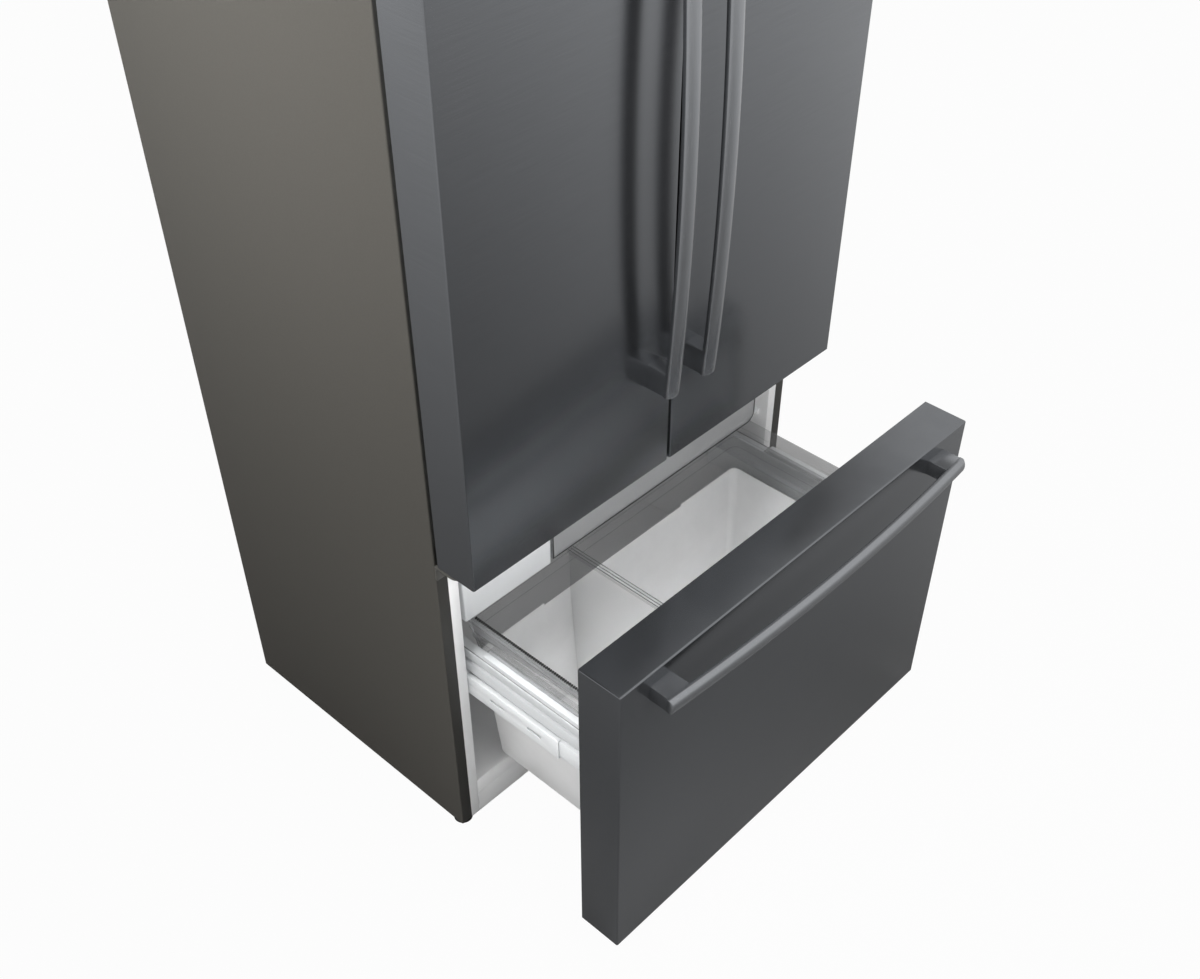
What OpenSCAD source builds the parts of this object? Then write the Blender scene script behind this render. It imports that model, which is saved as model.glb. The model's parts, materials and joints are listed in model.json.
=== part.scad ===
// Bottom-freezer refrigerator: two hinged upper doors over one freezer drawer, shown drawn out.
// Lengths are in millimetres. X runs to the right, Y to the back and Z up, with the floor at zero.
// Sizes are laid out from the front face of the cabinet, and seat() then moves the origin
// to the middle of the footprint.

/* [Cabinet] */
// Width of the cabinet, and of the closed door pair
cab_w = 908; // [900:1:940]
// Depth of the cabinet without its doors
cab_d = 612; // [596:1:700]
// Top panel above the floor
cab_top = 1795; // [1700:1:1860]
// Underside of the cabinet above the floor
cab_clear = 20; // [16:1:30]
// Sheet of the outer case
case_t = 1; // [0.6:0.1:2]
// Width of the steel flange round the front
flange_w = 24; // [16:1:32]
// Width of the white strip between flange and opening
breaker_w = 21; // [12:1:30]
// Height of the front sill below the freezer opening
sill_h = 90; // [70:1:110]
// Top of the freezer opening above the floor
freezer_top = 636; // [626:1:650]
// Floor of the fresh food compartment above the floor
fresh_floor = 720; // [710:1:760]
// Depth of the wall behind the fresh food compartment
fresh_wall = 52; // [37:1:92]
// Wall of the moulded liners
liner_t = 2; // [1.5:0.1:3]

/* [Doors] */
// Thickness of a door without its seal
door_t = 82.4; // [70:0.1:95]
// Space between a closed door and the cabinet
door_gap = 9.1; // [7:0.1:12]
// Lower edge of the doors above the floor
door_bottom = 690; // [686:1:700]
// Upper edge of the doors above the top of the case
door_over = 15; // [8:1:30]
// Gap between the two closed doors
centre_gap = 5.5; // [4:0.1:8]
// Sheet of the door skins
skin_t = 1.2; // [0.8:0.1:2]
// Hinge axis in from the side of the cabinet
hinge_in = 20; // [16:1:30]
// Hinge axis in front of the cabinet face
hinge_out = 36; // [30:1:48]
// Radius of a hinge pin
pin_r = 6; // [4:0.5:8]
// Running clearance of pins, shafts and axles
run_gap = 0.08; // [0.05:0.01:0.1]

/* [Door handles] */
// Length of a door handle
handle_len = 770; // [500:5:900]
// Width of a handle bar
bar_w = 31; // [24:1:36]
// Flat thickness of a handle bar before its crown
bar_t = 9; // [6:0.5:12]
// Crown of the bar's front
bar_crown = 6; // [3:0.5:9]
// Outer flat of the bar in front of the door, at the ends
bar_out = 41; // [34:1:50]
// Bow of the bar between its ends
bar_bow = 16; // [8:1:24]
// Length of an end post along the bar
post_len = 48; // [30:1:60]
// How far a post stands in from the end of its bar
post_in = 2; // [1.5:0.5:4]
// Middle line of a door handle in from the door's free edge
handle_in = 41.7; // [36:0.1:60]

/* [Freezer drawer] */
// How far the drawer stands open at rest
drawer_out = 307.35; // [250:0.05:330]
// Thickness of the drawer front
drawer_t = 85.4; // [75:0.1:95]
// Space between the closed drawer front and the cabinet
drawer_gap = 6.1; // [6:0.1:9]
// Lower edge of the drawer front above the floor
drawer_bottom = 30; // [26:1:40]
// Gap between the drawer front and the doors
split_gap = 10; // [10:0.5:14]
// How far each end of the drawer handle is in from the side
drawer_handle_in = 64; // [34:1:200]
// Top of the drawer handle below the drawer's upper edge
drawer_handle_drop = 26; // [16:1:60]

/* [Freezer bin] */
// How much narrower the bin's floor is on each side than its body's top
bin_draft = 18; // [14:1:30]
// Room between the side of the opening and the white body's top
bin_side_gap = 52; // [48:1:59]
// How much the clear collar widens on each side up to its rim
rim_draft = 16; // [11:1:19]
// Underside of the bin above the floor
bin_bottom = 132; // [125:1:160]
// Joint between white body and clear collar above the floor
bin_joint = 398; // [380:1:420]
// Rim of the collar above the floor
bin_rim = 507; // [490:1:508]
// Depth of the bin at the joint
bin_d = 345; // [300:1:350]
// Wall of the bin
bin_t = 3; // [2:0.1:4]
// Radius of the bin's upright corners
bin_corner = 18; // [10:1:30]
// Place of the divider to the left of the middle
divider_x = 123; // [60:1:200]

/* [Slides] */
// How much shorter a moving slide member is than its rail
slide_short = 25; // [10:1:60]
// Height of the cabinet rail
rail_h = 50; // [44:1:56]
// Middle of the slides above the floor
slide_z = 370; // [364:1:376]
// Share of the drawer's travel that the middle member makes
slide_share = 0.7; // [0.5:0.01:0.75]

/* [Compartment fittings] */
// Depth of a door bin
door_bin_d = 97; // [70:1:98]
// Height of a door bin
door_bin_h = 105; // [70:1:130]
// Thickness of the glass shelves
glass_t = 4; // [3:0.5:5]
// Height of the crisper cover shelf above the compartment floor
crisper_cover_up = 215; // [212:1:240]
// Height of a crisper bin
crisper_h = 180; // [140:1:184]
// Depth of a crisper bin
crisper_d = 380; // [300:1:400]

/* [Cooling plant] */
// Height of the machine compartment's ceiling above the floor
plant_top = 300; // [290:1:310]
// Depth of the machine compartment
plant_depth = 212; // [208:1:220]
// Radius of the compressor shell
comp_r = 72; // [60:1:76]
// Height of the compressor shell
comp_h = 158; // [120:1:170]
// Radius of the condenser fan
fan_r = 70; // [55:1:74]
// Number of blades on each fan
fan_blades = 5; // [3:1:7]

/* [Hidden] */

// Overrun of every cut
over = 1;
// Smoothness of true round faces
$fn = 48;
// Smoothness of blended corners
blend_fn = 32;
// Smoothness of the long bows of the handles
bow_fn = 720;
// Thickness of the end plates that a drafted form is stretched between
sliver = 0.02;

// Cabinet
half_w = cab_w / 2;
fresh_d = cab_d - fresh_wall;
plant_front = cab_d - plant_depth;
drawer_handle_len = cab_w - 2 * drawer_handle_in;
open_half = half_w - flange_w - breaker_w;
bin_body_half = open_half - bin_side_gap;
bin_floor_half = bin_body_half - bin_draft;
bin_rim_half = bin_body_half + rim_draft;
breaker_half = half_w - flange_w;
freezer_floor = cab_clear + sill_h;
fresh_top = cab_top - flange_w - breaker_w;
fresh_h = fresh_top - fresh_floor;
door_top = cab_top + door_over;
// Middle of the bar between the two compartments
mullion_z = (freezer_top + fresh_floor) / 2;
// Turned edge at the back of the case
back_flange = 15;
// Sheet of the rear panels
panel_t = 1;
// Seam between the rear panel and the machine cover
panel_seam = 2;
// Margin of the rear panels inside the case
panel_margin = 9;
// Proud height and width of the stiffening beads in the rear panel
bead_h = 2;
bead_w = 30;
bead_shares = [0.3, 0.6];
// Depth of the freezer's lower and upper parts
plant_wall = 48;
freezer_low_d = plant_front - plant_wall;
freezer_wall = 82;
freezer_up_d = cab_d - freezer_wall;
evap_bay = 60;
evap_cover_y = freezer_up_d - evap_bay;
// Where the freezer's step lies above the floor, and how far it slopes
freezer_step = 318;
step_slope = 14;
// Ledges moulded into the liner walls
ledge_w = 14;
ledge_h = 9;
// Where the scored line of the sill lies below its upper edge
sill_score_share = 0.44;
// Skids under the crispers
skid_w = 8;
skid_shares = [0.25, 0.75];

// Doors
door_front = -(door_gap + door_t);
door_back = -door_gap;
door_edge = centre_gap / 2;
cap_h = 30;
hinge_x = half_w - hinge_in;
hinge_y = -hinge_out;
// Raised dyke round the inside of a door
dyke_out = 12;
dyke_w = 18;
dyke_side = 58;
dyke_free = 32;
dyke_end = 15;
// Seal strip
seal_w = 16;
seal_free = 4;
seal_rest = 1;
// Door bins
bin_wall = 2.5;
bin_levels = 3;
bin_first_share = 0.28155;
bin_first_z = fresh_h * bin_first_share;
bin_step_share = 0.24272;
bin_step_z = fresh_h * bin_step_share;
hook_h = 8;
hook_w = 3;

// Flap that closes the gap between the doors
flap_t = 16;
flap_w = 44;
flap_pivot_x = -14;
flap_pivot_y = 5.5;
flap_back = 12;
flap_nose = 4;
flap_pin_r = 3;
lug_t = 6;
lug_from_end = 1;
lug_gap = 0.5;
flap_z0 = fresh_floor + dyke_end + lug_from_end + lug_t + lug_gap;
flap_z1 = fresh_top - dyke_end - lug_from_end - lug_t - lug_gap;

// Hinges
plate_t = 4;
mid_plate_gap = 3;
mid_flange_w = 40;
mid_flange_h = 30;
arm_reach = 14;
pin_len = 20;
top_arm_gap = 2;
top_arm_w = 56;
top_base_d = 96;
top_arm_back = 14;
cover_top = 34;
cover_t = 2.5;
cover_w = 68;
cover_d = 170;
cover_gap = 1;
cover_in = 2;

// Drawer, its slides and its bin
drawer_top = door_bottom - split_gap;
drawer_y = -(drawer_gap + drawer_t) - drawer_out;
drawer_back = drawer_y + drawer_t;
drawer_seal_w = 16;
drawer_seal_in = 8;
drawer_seal_low = 54;
drawer_seal_drop = 26;
drawer_seal_t = 5;
bin_seat = 1.45;
bin_front = drawer_back + bin_seat;
bin_rear = bin_front + bin_d;
rim_lip = 5;
rim_t = 3;
rib_out = 1.2;
rib_h = 2.4;
rib_levels = 3;
joint_notch_w = 380;
joint_notch_h = 5;
frame_clear = 11;
frame_w = 20;
frame_out = open_half - frame_clear;
frame_in = frame_out - frame_w;
frame_bottom = 397;
frame_top = 459;
frame_web = 4;
frame_cap = 10;
frame_cap_len = 283;
frame_band = 17;
frame_groove = 9;
frame_score = 1;
frame_groove_d = 5;
bin_flange_t = 2;
bin_flange_bearing = 6;
bin_flange_reach = frame_in + bin_flange_bearing;
slide_wall = 2.4;
slide_gap = 0.6;
rail_depth = 12.4;
rail_front = 8;
rail_back_gap = 7;
rail_len = evap_cover_y - rail_back_gap - rail_front;
slide_len = rail_len - slide_short;
rail_tab_w = 24;
rail_tab_drop = 48;
slot_len = 34;
slot_h = 7;
slot_step = 90;
slot_first = 40;
slot_count = 4;

// Divider of the freezer bin
divider_t = 3;
divider_gap = 1.5;
divider_top = 492;
divider_rail_w = 15;
divider_rail_h = 8;
divider_groove_w = 2;
divider_groove_deep = 3;
divider_groove_x = 2.5;

// Upper freezer shelf, tray and ice bin
shelf_z = 514.5;
shelf_t = 5;
shelf_front = 20;
shelf_back_gap = 5;
shelf_back = evap_cover_y - shelf_back_gap;
slats = 15;
slat_margin = 19;
slat_step = 2 * (open_half - slat_margin) / slats;
slat_bar = 16;
slat_w = slat_step - slat_bar;
slat_end = 24.5;
slat_len = shelf_back - shelf_front - 2 * slat_end;
seat_gap = 0.3;
tray_front = 3;
tray_back_gap = 37;
tray_d = evap_cover_y - tray_back_gap - tray_front;
tray_left = -190;
tray_in = 41;
tray_right = open_half - tray_in;
tray_top = 622;
tray_t = 2.5;
tray_panel_t = 4;
tray_corner = 20;
tray_panel_up = 5;
ice_in = 9;
ice_left = -open_half + ice_in;
ice_right = -193;

// Evaporator and its cover
evap_cover_t = 4;
evap_fan_r = 48;
evap_fan_z = 580;
evap_gap = 12;
evap_front = evap_cover_y + evap_gap;
evap_low = 345;
evap_high = 500;
evap_fins = 16;
evap_in = 79;
evap_half = open_half - evap_in;
evap_rows = 3;
return_vents = 9;
return_margin = 40;
return_step = 2 * (open_half - return_margin) / return_vents;
return_bar = 24;
return_w = return_step - return_bar;
grille_rings = 3;
coil_r = 4;
fin_t = 1;

// Machine compartment
base_h = 16;
base_t = 1.2;
comp_in = 224;
comp_x = -half_w + comp_in;
comp_from_back = 107;
comp_y = cab_d - comp_from_back;
comp_foot_w = 200;
comp_foot_d = 120;
comp_foot_z = 52;
comp_foot_t = 3;
grommet_r = 11;
grommet_neck = 7;
stud_x = 84;
stud_y = 46;
stud_r = 3;
stud_h = 46;
cond_x0 = 20;
cond_in = 104;
cond_x1 = half_w - cond_in;
cond_gap = 32;
cond_y0 = plant_front + cond_gap;
cond_from_back = 24;
cond_y1 = cab_d - cond_from_back;
cond_z0 = 62;
cond_z1 = 262;
cond_fins = 18;
cond_rows = 3;
cond_cols = 3;
shroud_x = -20;
shroud_t = 3;
shroud_gap = 20;
shroud_y0 = plant_front + shroud_gap;
shroud_from_back = 16;
shroud_y1 = cab_d - shroud_from_back;
fan_y = (shroud_y0 + shroud_y1) / 2;
fan_z = 160;
fan_gap = 6;
hub_r = 18;
fan_depth = 22;
blade_t = 2;
blade_pitch = 32;
motor_r = 24;
motor_len = 24;
shaft_r = 3;
pan_h = 24;
pan_t = 2;
pan_margin = 12;
louvre_rows = 9;
louvre_cols = 3;
louvre_w = 150;
louvre_step = 225;
louvre_h = 8;
louvre_pitch = 22;
line_r = 3.2;
suction_r = 4.2;
line_run = 26;
line_bend = 9;
// Heights of the discharge and suction lines on the compressor shell
out_share = 0.35;
back_share = 0.65;
// Shares of the compressor shell: rounding of its dome, its base and its process stub
dome_share = 0.55;
base_share = 0.6;
base_h_share = 0.2;
stub_share = 0.3;
// Share of the fan's radius that a blade is wide
blade_share = 0.7;
// Where the cord gland sits on the machine cover
gland_x_share = 0.8;
gland_z_share = 0.8;
gland_hole_r = 4.5;

// Rollers and feet
roller_r = 18;
roller_w = 22;
roller_in = 58;
roller_x = half_w - roller_in;
roller_from_back = 52;
roller_y = cab_d - roller_from_back;
axle_r = 4;
ear_t = 2;
ear_gap = 0.5;
foot_in = 24;
foot_x = half_w - foot_in;
foot_y = 26;
foot_r = 18;
foot_h = 8;
foot_hex_r = 13;
foot_hex_h = 9;
stem_r = 5;
channel_d = 40;
channel_y = 6;

// Compartment fittings
shelf_levels_share = [0, 0.33, 0.62];
shelf_front_y = 100;
glass_depth = 350;
rim_h = 16;
rim_w = 20;
rim_seat = 6;
side_gap = 2;
crisper_y = 60;
crisper_side = 40;
crisper_mid = 8;
crisper_draft = 8;
crisper_t = 2.5;
crisper_corner = 12;
crisper_lip = 10;
skid_h = 21.7;
duct_w = 220;
duct_t = 14;
duct_z0 = 240;
duct_top_gap = 50;
duct_h = fresh_h - duct_z0 - duct_top_gap;
vent_w = 120;
vent_h = 8;
vent_count = 6;
light_w = 300;
light_d = 40;
light_h = 12;
guide_w = 64;
guide_d = 42;
guide_h = 8;
guide_y = 14;

// Reach of the whole object along Y at rest, which sets the origin
front_reach = drawer_y - bar_out - bar_bow - bar_crown;
back_reach = cab_d + panel_t + bead_h;
mid_y = (front_reach + back_reach) / 2;

// Colours
dark_steel = [0.30, 0.305, 0.315];
side_paint = [0.25, 0.24, 0.23];
white_plastic = [0.90, 0.91, 0.92];
clear_plastic = [0.80, 0.82, 0.84, 0.4];
seal_grey = [0.45, 0.45, 0.46];
zinc = [0.70, 0.71, 0.72];
black_paint = [0.08, 0.08, 0.08];
copper = [0.72, 0.45, 0.30];

// Puts a piece that is laid out from the cabinet face into the object's own frame
module seat() translate([0, -mid_y, 0]) children();

// A block between two corners
module block(lo, hi) translate(lo) cube(hi - lo);

// A piece on the left and its mirror image on the right
module pair() {
    children();
    mirror([1, 0, 0]) children();
}

// A profile in Y and Z, stretched to both sides of the middle plane
module across(w) rotate([90, 0, 90]) linear_extrude(w, center = true) children();

// A profile in X and Z, stretched from y0 to y1
module along(y0, y1) translate([0, y1, 0]) rotate([90, 0, 0]) linear_extrude(y1 - y0) children();

// A rectangle with round corners, by its own corners
module rounded(x0, y0, x1, y1, r) {
    translate([x0 + r, y0]) square([x1 - x0 - 2 * r, y1 - y0]);
    translate([x0, y0 + r]) square([x1 - x0, y1 - y0 - 2 * r]);
    for (x = [x0 + r, x1 - r], y = [y0 + r, y1 - r]) translate([x, y]) circle(r);
}

// A tub with drafted walls: corners of the lower and the upper outline as [x0, y0, x1, y1]
module drafted(low, high, z0, z1, r) hull() {
    translate([0, 0, z0]) linear_extrude(sliver)
        rounded(low[0], low[1], low[2], low[3], r, $fn = blend_fn);
    translate([0, 0, z1 - sliver]) linear_extrude(sliver)
        rounded(high[0], high[1], high[2], high[3], r, $fn = blend_fn);
}

// The outline of a rectangle moved in on every side
function inset(o, d) = [o[0] + d, o[1] + d, o[2] - d, o[3] - d];

// The direction from one point to the next
function heading(a, b) = (b - a) / norm(b - a);

// A tube along a list of points that turns squarely at each, with round bends
module pipe(points, r, bend) {
    last = len(points) - 1;
    for (i = [0 : last - 1]) {
        d = heading(points[i], points[i + 1]);
        start = points[i] + d * (i > 0 ? bend : 0);
        end = points[i + 1] - d * (i < last - 1 ? bend : 0);
        translate(start) rotate([0, acos(d[2]), atan2(d[1], d[0])]) cylinder(h = norm(end - start), r = r);
    }
    for (i = [1 : last - 1]) {
        d1 = heading(points[i - 1], points[i]);
        d2 = heading(points[i], points[i + 1]);
        n = cross(-d2, d1);
        c = points[i] + (d2 - d1) * bend;
        multmatrix([
            [-d2[0], d1[0], n[0], c[0]], [-d2[1], d1[1], n[1], c[1]],
            [-d2[2], d1[2], n[2], c[2]], [0, 0, 0, 1]
        ]) rotate_extrude(angle = 90) translate([bend, 0]) circle(r);
    }
}

// The bowed bar of a handle with its end posts: it runs along X, stands out along -Y
// from a face at y = 0 and is centred at the origin
module handle(length) {
    half = length / 2;
    radius = (half * half + bar_bow * bar_bow) / (2 * bar_bow);
    turn = asin(half / radius);
    crown_r = (bar_w * bar_w / 4 + bar_crown * bar_crown) / (2 * bar_crown);
    translate([0, -(bar_out + bar_bow) + radius, 0]) rotate([0, 0, -90 - turn])
        rotate_extrude(angle = 2 * turn, $fn = bow_fn) intersection() {
            translate([radius - bar_t, -bar_w / 2]) square([bar_t + bar_crown + over, bar_w]);
            translate([radius + bar_crown - crown_r, 0]) circle(crown_r, $fn = bow_fn / 6);
        }
    for (s = [-1, 1]) scale([s, 1, 1])
        block([half - post_len, -(bar_out - bar_t / 2), -bar_w / 2], [half - post_in, 0, bar_w / 2]);
}

// A fan rotor about Z, with pitched blades from the hub to the rim
module rotor(r, blades) {
    difference() {
        union() {
            cylinder(h = fan_depth, r = hub_r, center = true);
            intersection() {
                for (i = [0 : blades - 1]) rotate([0, 0, i * 360 / blades])
                    translate([(hub_r + r) / 2, 0, 0]) rotate([blade_pitch, 0, 0])
                        cube([r - hub_r / 2, r * blade_share, blade_t], center = true);
                cylinder(h = fan_depth - blade_t, r = r, center = true);
            }
        }
        cylinder(h = fan_depth + 2 * over, r = shaft_r, center = true);
    }
}

// A motor about Z with its shaft through a rotor, held by arms that reach a ring
module motor(arm_r, arms) {
    z0 = fan_depth / 2 + fan_gap / 3;
    translate([0, 0, z0]) cylinder(h = motor_len, r = motor_r);
    translate([0, 0, -fan_depth / 2]) cylinder(h = z0 + fan_depth / 2 + over, r = shaft_r - run_gap);
    for (i = [0 : arms - 1]) rotate([0, 0, (i + 0.5) * 360 / arms])
        block([motor_r - over, -hub_r / 4, z0 + motor_len - 2 * plate_t],
            [arm_r, hub_r / 4, z0 + motor_len - plate_t]);
}

// A finned coil: tubes along X through upright fins, with bends at both ends
module coil(x0, x1, y0, y1, z0, z1, rows, cols, fins) {
    pitch_y = (y1 - y0) / rows;
    pitch_z = (z1 - z0) / cols / 2;
    for (i = [0 : fins - 1])
        translate([x0 + (x1 - x0 - fin_t) * i / (fins - 1), y0, z0]) cube([fin_t, y1 - y0, z1 - z0]);
    for (r = [0 : rows - 1], c = [0 : 2 * cols - 1])
        translate([x0, y0 + (r + 0.5) * pitch_y, z0 + (c + 0.5) * pitch_z])
            rotate([0, 90, 0]) cylinder(h = x1 - x0, r = coil_r, $fn = 24);
    for (r = [0 : rows - 1], c = [0 : cols - 1])
        translate([x1, y0 + (r + 0.5) * pitch_y, z0 + (2 * c + 1) * pitch_z])
            rotate([90, 0, 0]) rotate([0, 0, -90])
                rotate_extrude(angle = 180, $fn = 24) translate([pitch_z / 2, 0]) circle(coil_r, $fn = 24);
}

// Cabinet

module outer_case() color(side_paint) seat() {
    difference() {
        block([-half_w, 0, cab_clear], [half_w, cab_d, cab_top]);
        block([-half_w + case_t, case_t, cab_clear - over],
            [half_w - case_t, cab_d - case_t, cab_top - case_t]);
        block([-breaker_half, -over, cab_clear - over], [breaker_half, 2 * case_t, cab_top - flange_w]);
        block([-half_w + back_flange, cab_d - 2 * case_t, cab_clear - over],
            [half_w - back_flange, cab_d + over, cab_top - back_flange]);
    }
}

module rear_panel() color(zinc) seat() {
    z0 = plant_top + panel_seam;
    block([-half_w + panel_margin, cab_d, z0], [half_w - panel_margin, cab_d + panel_t, cab_top - panel_margin]);
    for (x = [-1, 1], k = bead_shares)
        block([x * half_w * k - bead_w / 2, cab_d + panel_t, z0 + bead_w],
            [x * half_w * k + bead_w / 2, cab_d + panel_t + bead_h, cab_top - panel_margin - bead_w]);
}

module machine_cover() color(zinc) seat() difference() {
    block([-half_w + panel_margin, cab_d, cab_clear + panel_t],
        [half_w - panel_margin, cab_d + panel_t, plant_top]);
    for (c = [0 : louvre_cols - 1], r = [0 : louvre_rows - 1])
        block([louvre_x(c) - louvre_w / 2, cab_d - over, plant_top / 4 + r * louvre_pitch],
            [louvre_x(c) + louvre_w / 2, cab_d + panel_t + over,
                plant_top / 4 + r * louvre_pitch + louvre_h]);
    at_gland() cylinder(h = 2 * over + panel_t, r = gland_hole_r, center = true);
}

function louvre_x(c) = (c - (louvre_cols - 1) / 2) * louvre_step;

// Where the gland sits, with Z pointing back
module at_gland() translate([half_w * gland_x_share, cab_d + panel_t, plant_top * gland_z_share])
    rotate([-90, 0, 0]) children();

// Bottom panel with the front channel, side rails, roller ears and axles, and the studs
// that the compressor stands on
module base_frame() color(zinc) seat() {
    top = cab_clear + base_h;
    side = half_w - case_t;
    difference() {
        union() {
            block([-side, channel_y, cab_clear], [side, cab_d - case_t, cab_clear + base_t]);
            block([-side, channel_y, top - base_t], [side, channel_y + channel_d, top]);
            block([-side, channel_y, cab_clear], [side, channel_y + base_t, top]);
            block([-side, channel_y + channel_d - base_t, cab_clear], [side, channel_y + channel_d, top]);
            pair() block([-side, channel_y, cab_clear], [-side + channel_d / 2, plant_front, top]);
        }
        for (s = [-1, 1]) {
            translate([s * foot_x, foot_y, 0]) cylinder(h = top + over, r = stem_r + run_gap);
            block([s * roller_x - roller_w / 2 - ear_gap - ear_t, roller_y - roller_r - over * 2, cab_clear - over],
                [s * roller_x + roller_w / 2 + ear_gap + ear_t, roller_y + roller_r + over * 2, top]);
        }
    }
    for (s = [-1, 1]) {
        for (e = [-1, 1]) translate([s * roller_x + e * (roller_w / 2 + ear_gap + ear_t / 2), 0, 0])
            block([-ear_t / 2, roller_y - roller_r - over * 2, roller_r - 2 * axle_r],
                [ear_t / 2, roller_y + roller_r + over * 2, cab_clear + base_t]);
        translate([s * roller_x, roller_y, roller_r]) rotate([0, 90, 0])
            cylinder(h = roller_w + 2 * ear_gap + 2 * ear_t, r = axle_r - run_gap, center = true);
    }
    for (x = [-stud_x, stud_x], y = [-stud_y, stud_y])
        translate([comp_x + x, comp_y + y, cab_clear]) cylinder(h = stud_h, r = stud_r - run_gap);
}

// Profile of the freezer compartment in Y and Z, moved out by t
module freezer_profile(front, t) polygon([
    [front, freezer_floor - t],
    [freezer_low_d + t, freezer_floor - t],
    [freezer_low_d + t, freezer_step - t],
    [freezer_low_d + t + step_slope, freezer_step + step_slope - t],
    [freezer_up_d + t, freezer_step + step_slope - t],
    [freezer_up_d + t, freezer_top + t],
    [front, freezer_top + t]
]);

module insulation() color([0.86, 0.82, 0.66]) seat() difference() {
    block([-half_w + case_t, 2 * liner_t, cab_clear + base_h],
        [half_w - case_t, cab_d - case_t, cab_top - case_t]);
    block([-open_half - liner_t, 0, fresh_floor - liner_t],
        [open_half + liner_t, fresh_d + liner_t, fresh_top + liner_t]);
    across(2 * (open_half + liner_t)) freezer_profile(0, liner_t);
    block([-half_w, plant_front, 0], [half_w, cab_d, plant_top]);
}

// Shelf ledges, crisper skids and the flange round the fresh food opening
module fresh_liner() color(white_plastic) seat() {
    difference() {
        union() {
            block([-open_half - liner_t, 0, fresh_floor - liner_t],
                [open_half + liner_t, fresh_d + liner_t, fresh_top + liner_t]);
            block([-breaker_half, 0, mullion_z], [breaker_half, liner_t, cab_top - flange_w]);
        }
        block([-open_half, -over, fresh_floor], [open_half, fresh_d, fresh_top]);
    }
    pair() for (k = shelf_levels_share)
        block([-open_half, shelf_front_y, shelf_height(k) - ledge_h],
            [-open_half + ledge_w, shelf_front_y + glass_depth, shelf_height(k)]);
    pair() for (k = skid_shares)
        block([-open_half * k - skid_w / 2, crisper_y, fresh_floor],
            [-open_half * k + skid_w / 2, crisper_y + crisper_d, fresh_floor + skid_h]);
}

function shelf_height(k) = fresh_floor + crisper_cover_up
    + k * (fresh_top - fresh_floor - crisper_cover_up);

module freezer_liner() color(white_plastic) seat() {
    difference() {
        union() {
            across(2 * (open_half + liner_t)) freezer_profile(0, liner_t);
            block([-breaker_half, 0, freezer_floor - liner_t], [breaker_half, liner_t, mullion_z]);
            pair() block([-breaker_half, 0, cab_clear], [-open_half, liner_t, freezer_floor]);
        }
        across(2 * open_half) freezer_profile(-over, 0);
    }
    pair() block([-open_half, shelf_front, shelf_z - ledge_h], [-open_half + ledge_w / 2, shelf_back, shelf_z]);
}

// Sill with a scored line and a bevelled upper edge
module front_sill() color(white_plastic) seat() {
    score_z = freezer_floor - sill_score_share * sill_h;
    top = freezer_floor - liner_t;
    across(2 * open_half) polygon([
        [0, cab_clear], [0, score_z], [liner_t / 2, score_z + liner_t / 2], [0, score_z + liner_t],
        [0, top - 2 * liner_t], [liner_t, top], [2 * liner_t, top], [2 * liner_t, cab_clear]
    ]);
}

// Hinges

module middle_hinges() color(zinc) seat() pair() {
    z = door_bottom - mid_plate_gap;
    block([-half_w, -plate_t, z - mid_flange_h], [-half_w + mid_flange_w, 0, z]);
    block([-half_w, hinge_y, z - plate_t], [-half_w + mid_flange_w, 0, z]);
    translate([-hinge_x, hinge_y, z - plate_t]) cylinder(h = plate_t, r = hinge_in);
    translate([-hinge_x, hinge_y, z - over]) cylinder(h = pin_len + over, r = pin_r - run_gap);
}

module top_hinges() color(zinc) seat() pair() {
    arm_z = door_top + top_arm_gap;
    block([-half_w + cover_in * 2, top_arm_back, cab_top],
        [-half_w + cover_in * 2 + top_arm_w, top_base_d, cab_top + plate_t]);
    block([-half_w + cover_in * 2, top_arm_back, cab_top],
        [-half_w + cover_in * 2 + top_arm_w, top_arm_back + plate_t, arm_z + plate_t]);
    block([-half_w + cover_in * 2, hinge_y, arm_z],
        [-half_w + cover_in * 2 + 2 * arm_reach, top_arm_back + plate_t, arm_z + plate_t]);
    translate([-hinge_x, hinge_y, arm_z]) cylinder(h = plate_t, r = arm_reach);
    translate([-hinge_x, hinge_y, arm_z - pin_len]) cylinder(h = pin_len + over, r = pin_r - run_gap);
}

module hinge_covers() color(black_paint) seat() pair() difference() {
    front = hinge_y - arm_reach - cover_t - over;
    top = cab_top + cover_top;
    union() {
        along(front + bin_corner, front + cover_d) polygon([
            [-half_w + cover_in, cab_top], [-half_w + cover_in, top - cover_t],
            [-half_w + cover_in + cover_t, top], [-half_w + cover_w - cover_t, top],
            [-half_w + cover_w, top - cover_t], [-half_w + cover_w, cab_top]
        ]);
        translate([0, 0, cab_top]) linear_extrude(cover_top - cover_t)
            rounded(-half_w + cover_in, front, -half_w + cover_w, front + cover_d, bin_corner / 2);
    }
    block([-half_w - over, front - over, cab_top - over], [-half_w + cover_w + over, 0, door_top + cover_gap]);
    block([-half_w + cover_in + cover_t - over, 0, cab_top - over],
        [-half_w + cover_w - cover_t, front + cover_d - cover_t, top - cover_t * 2]);
    block([-half_w + cover_in + cover_t - over, front + cover_t, door_top],
        [-half_w + cover_w - cover_t, over, top - cover_t * 2]);
}

// Fittings of the fresh food compartment

module glass_shelves() color(clear_plastic) seat()
    for (k = shelf_levels_share) translate([0, 0, shelf_height(k)])
        block([-open_half + side_gap + rim_w - rim_seat, shelf_front_y + rim_w - rim_seat, rim_h - glass_t],
            [open_half - side_gap - rim_w + rim_seat, shelf_front_y + glass_depth - rim_w + rim_seat, rim_h]);

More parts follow.
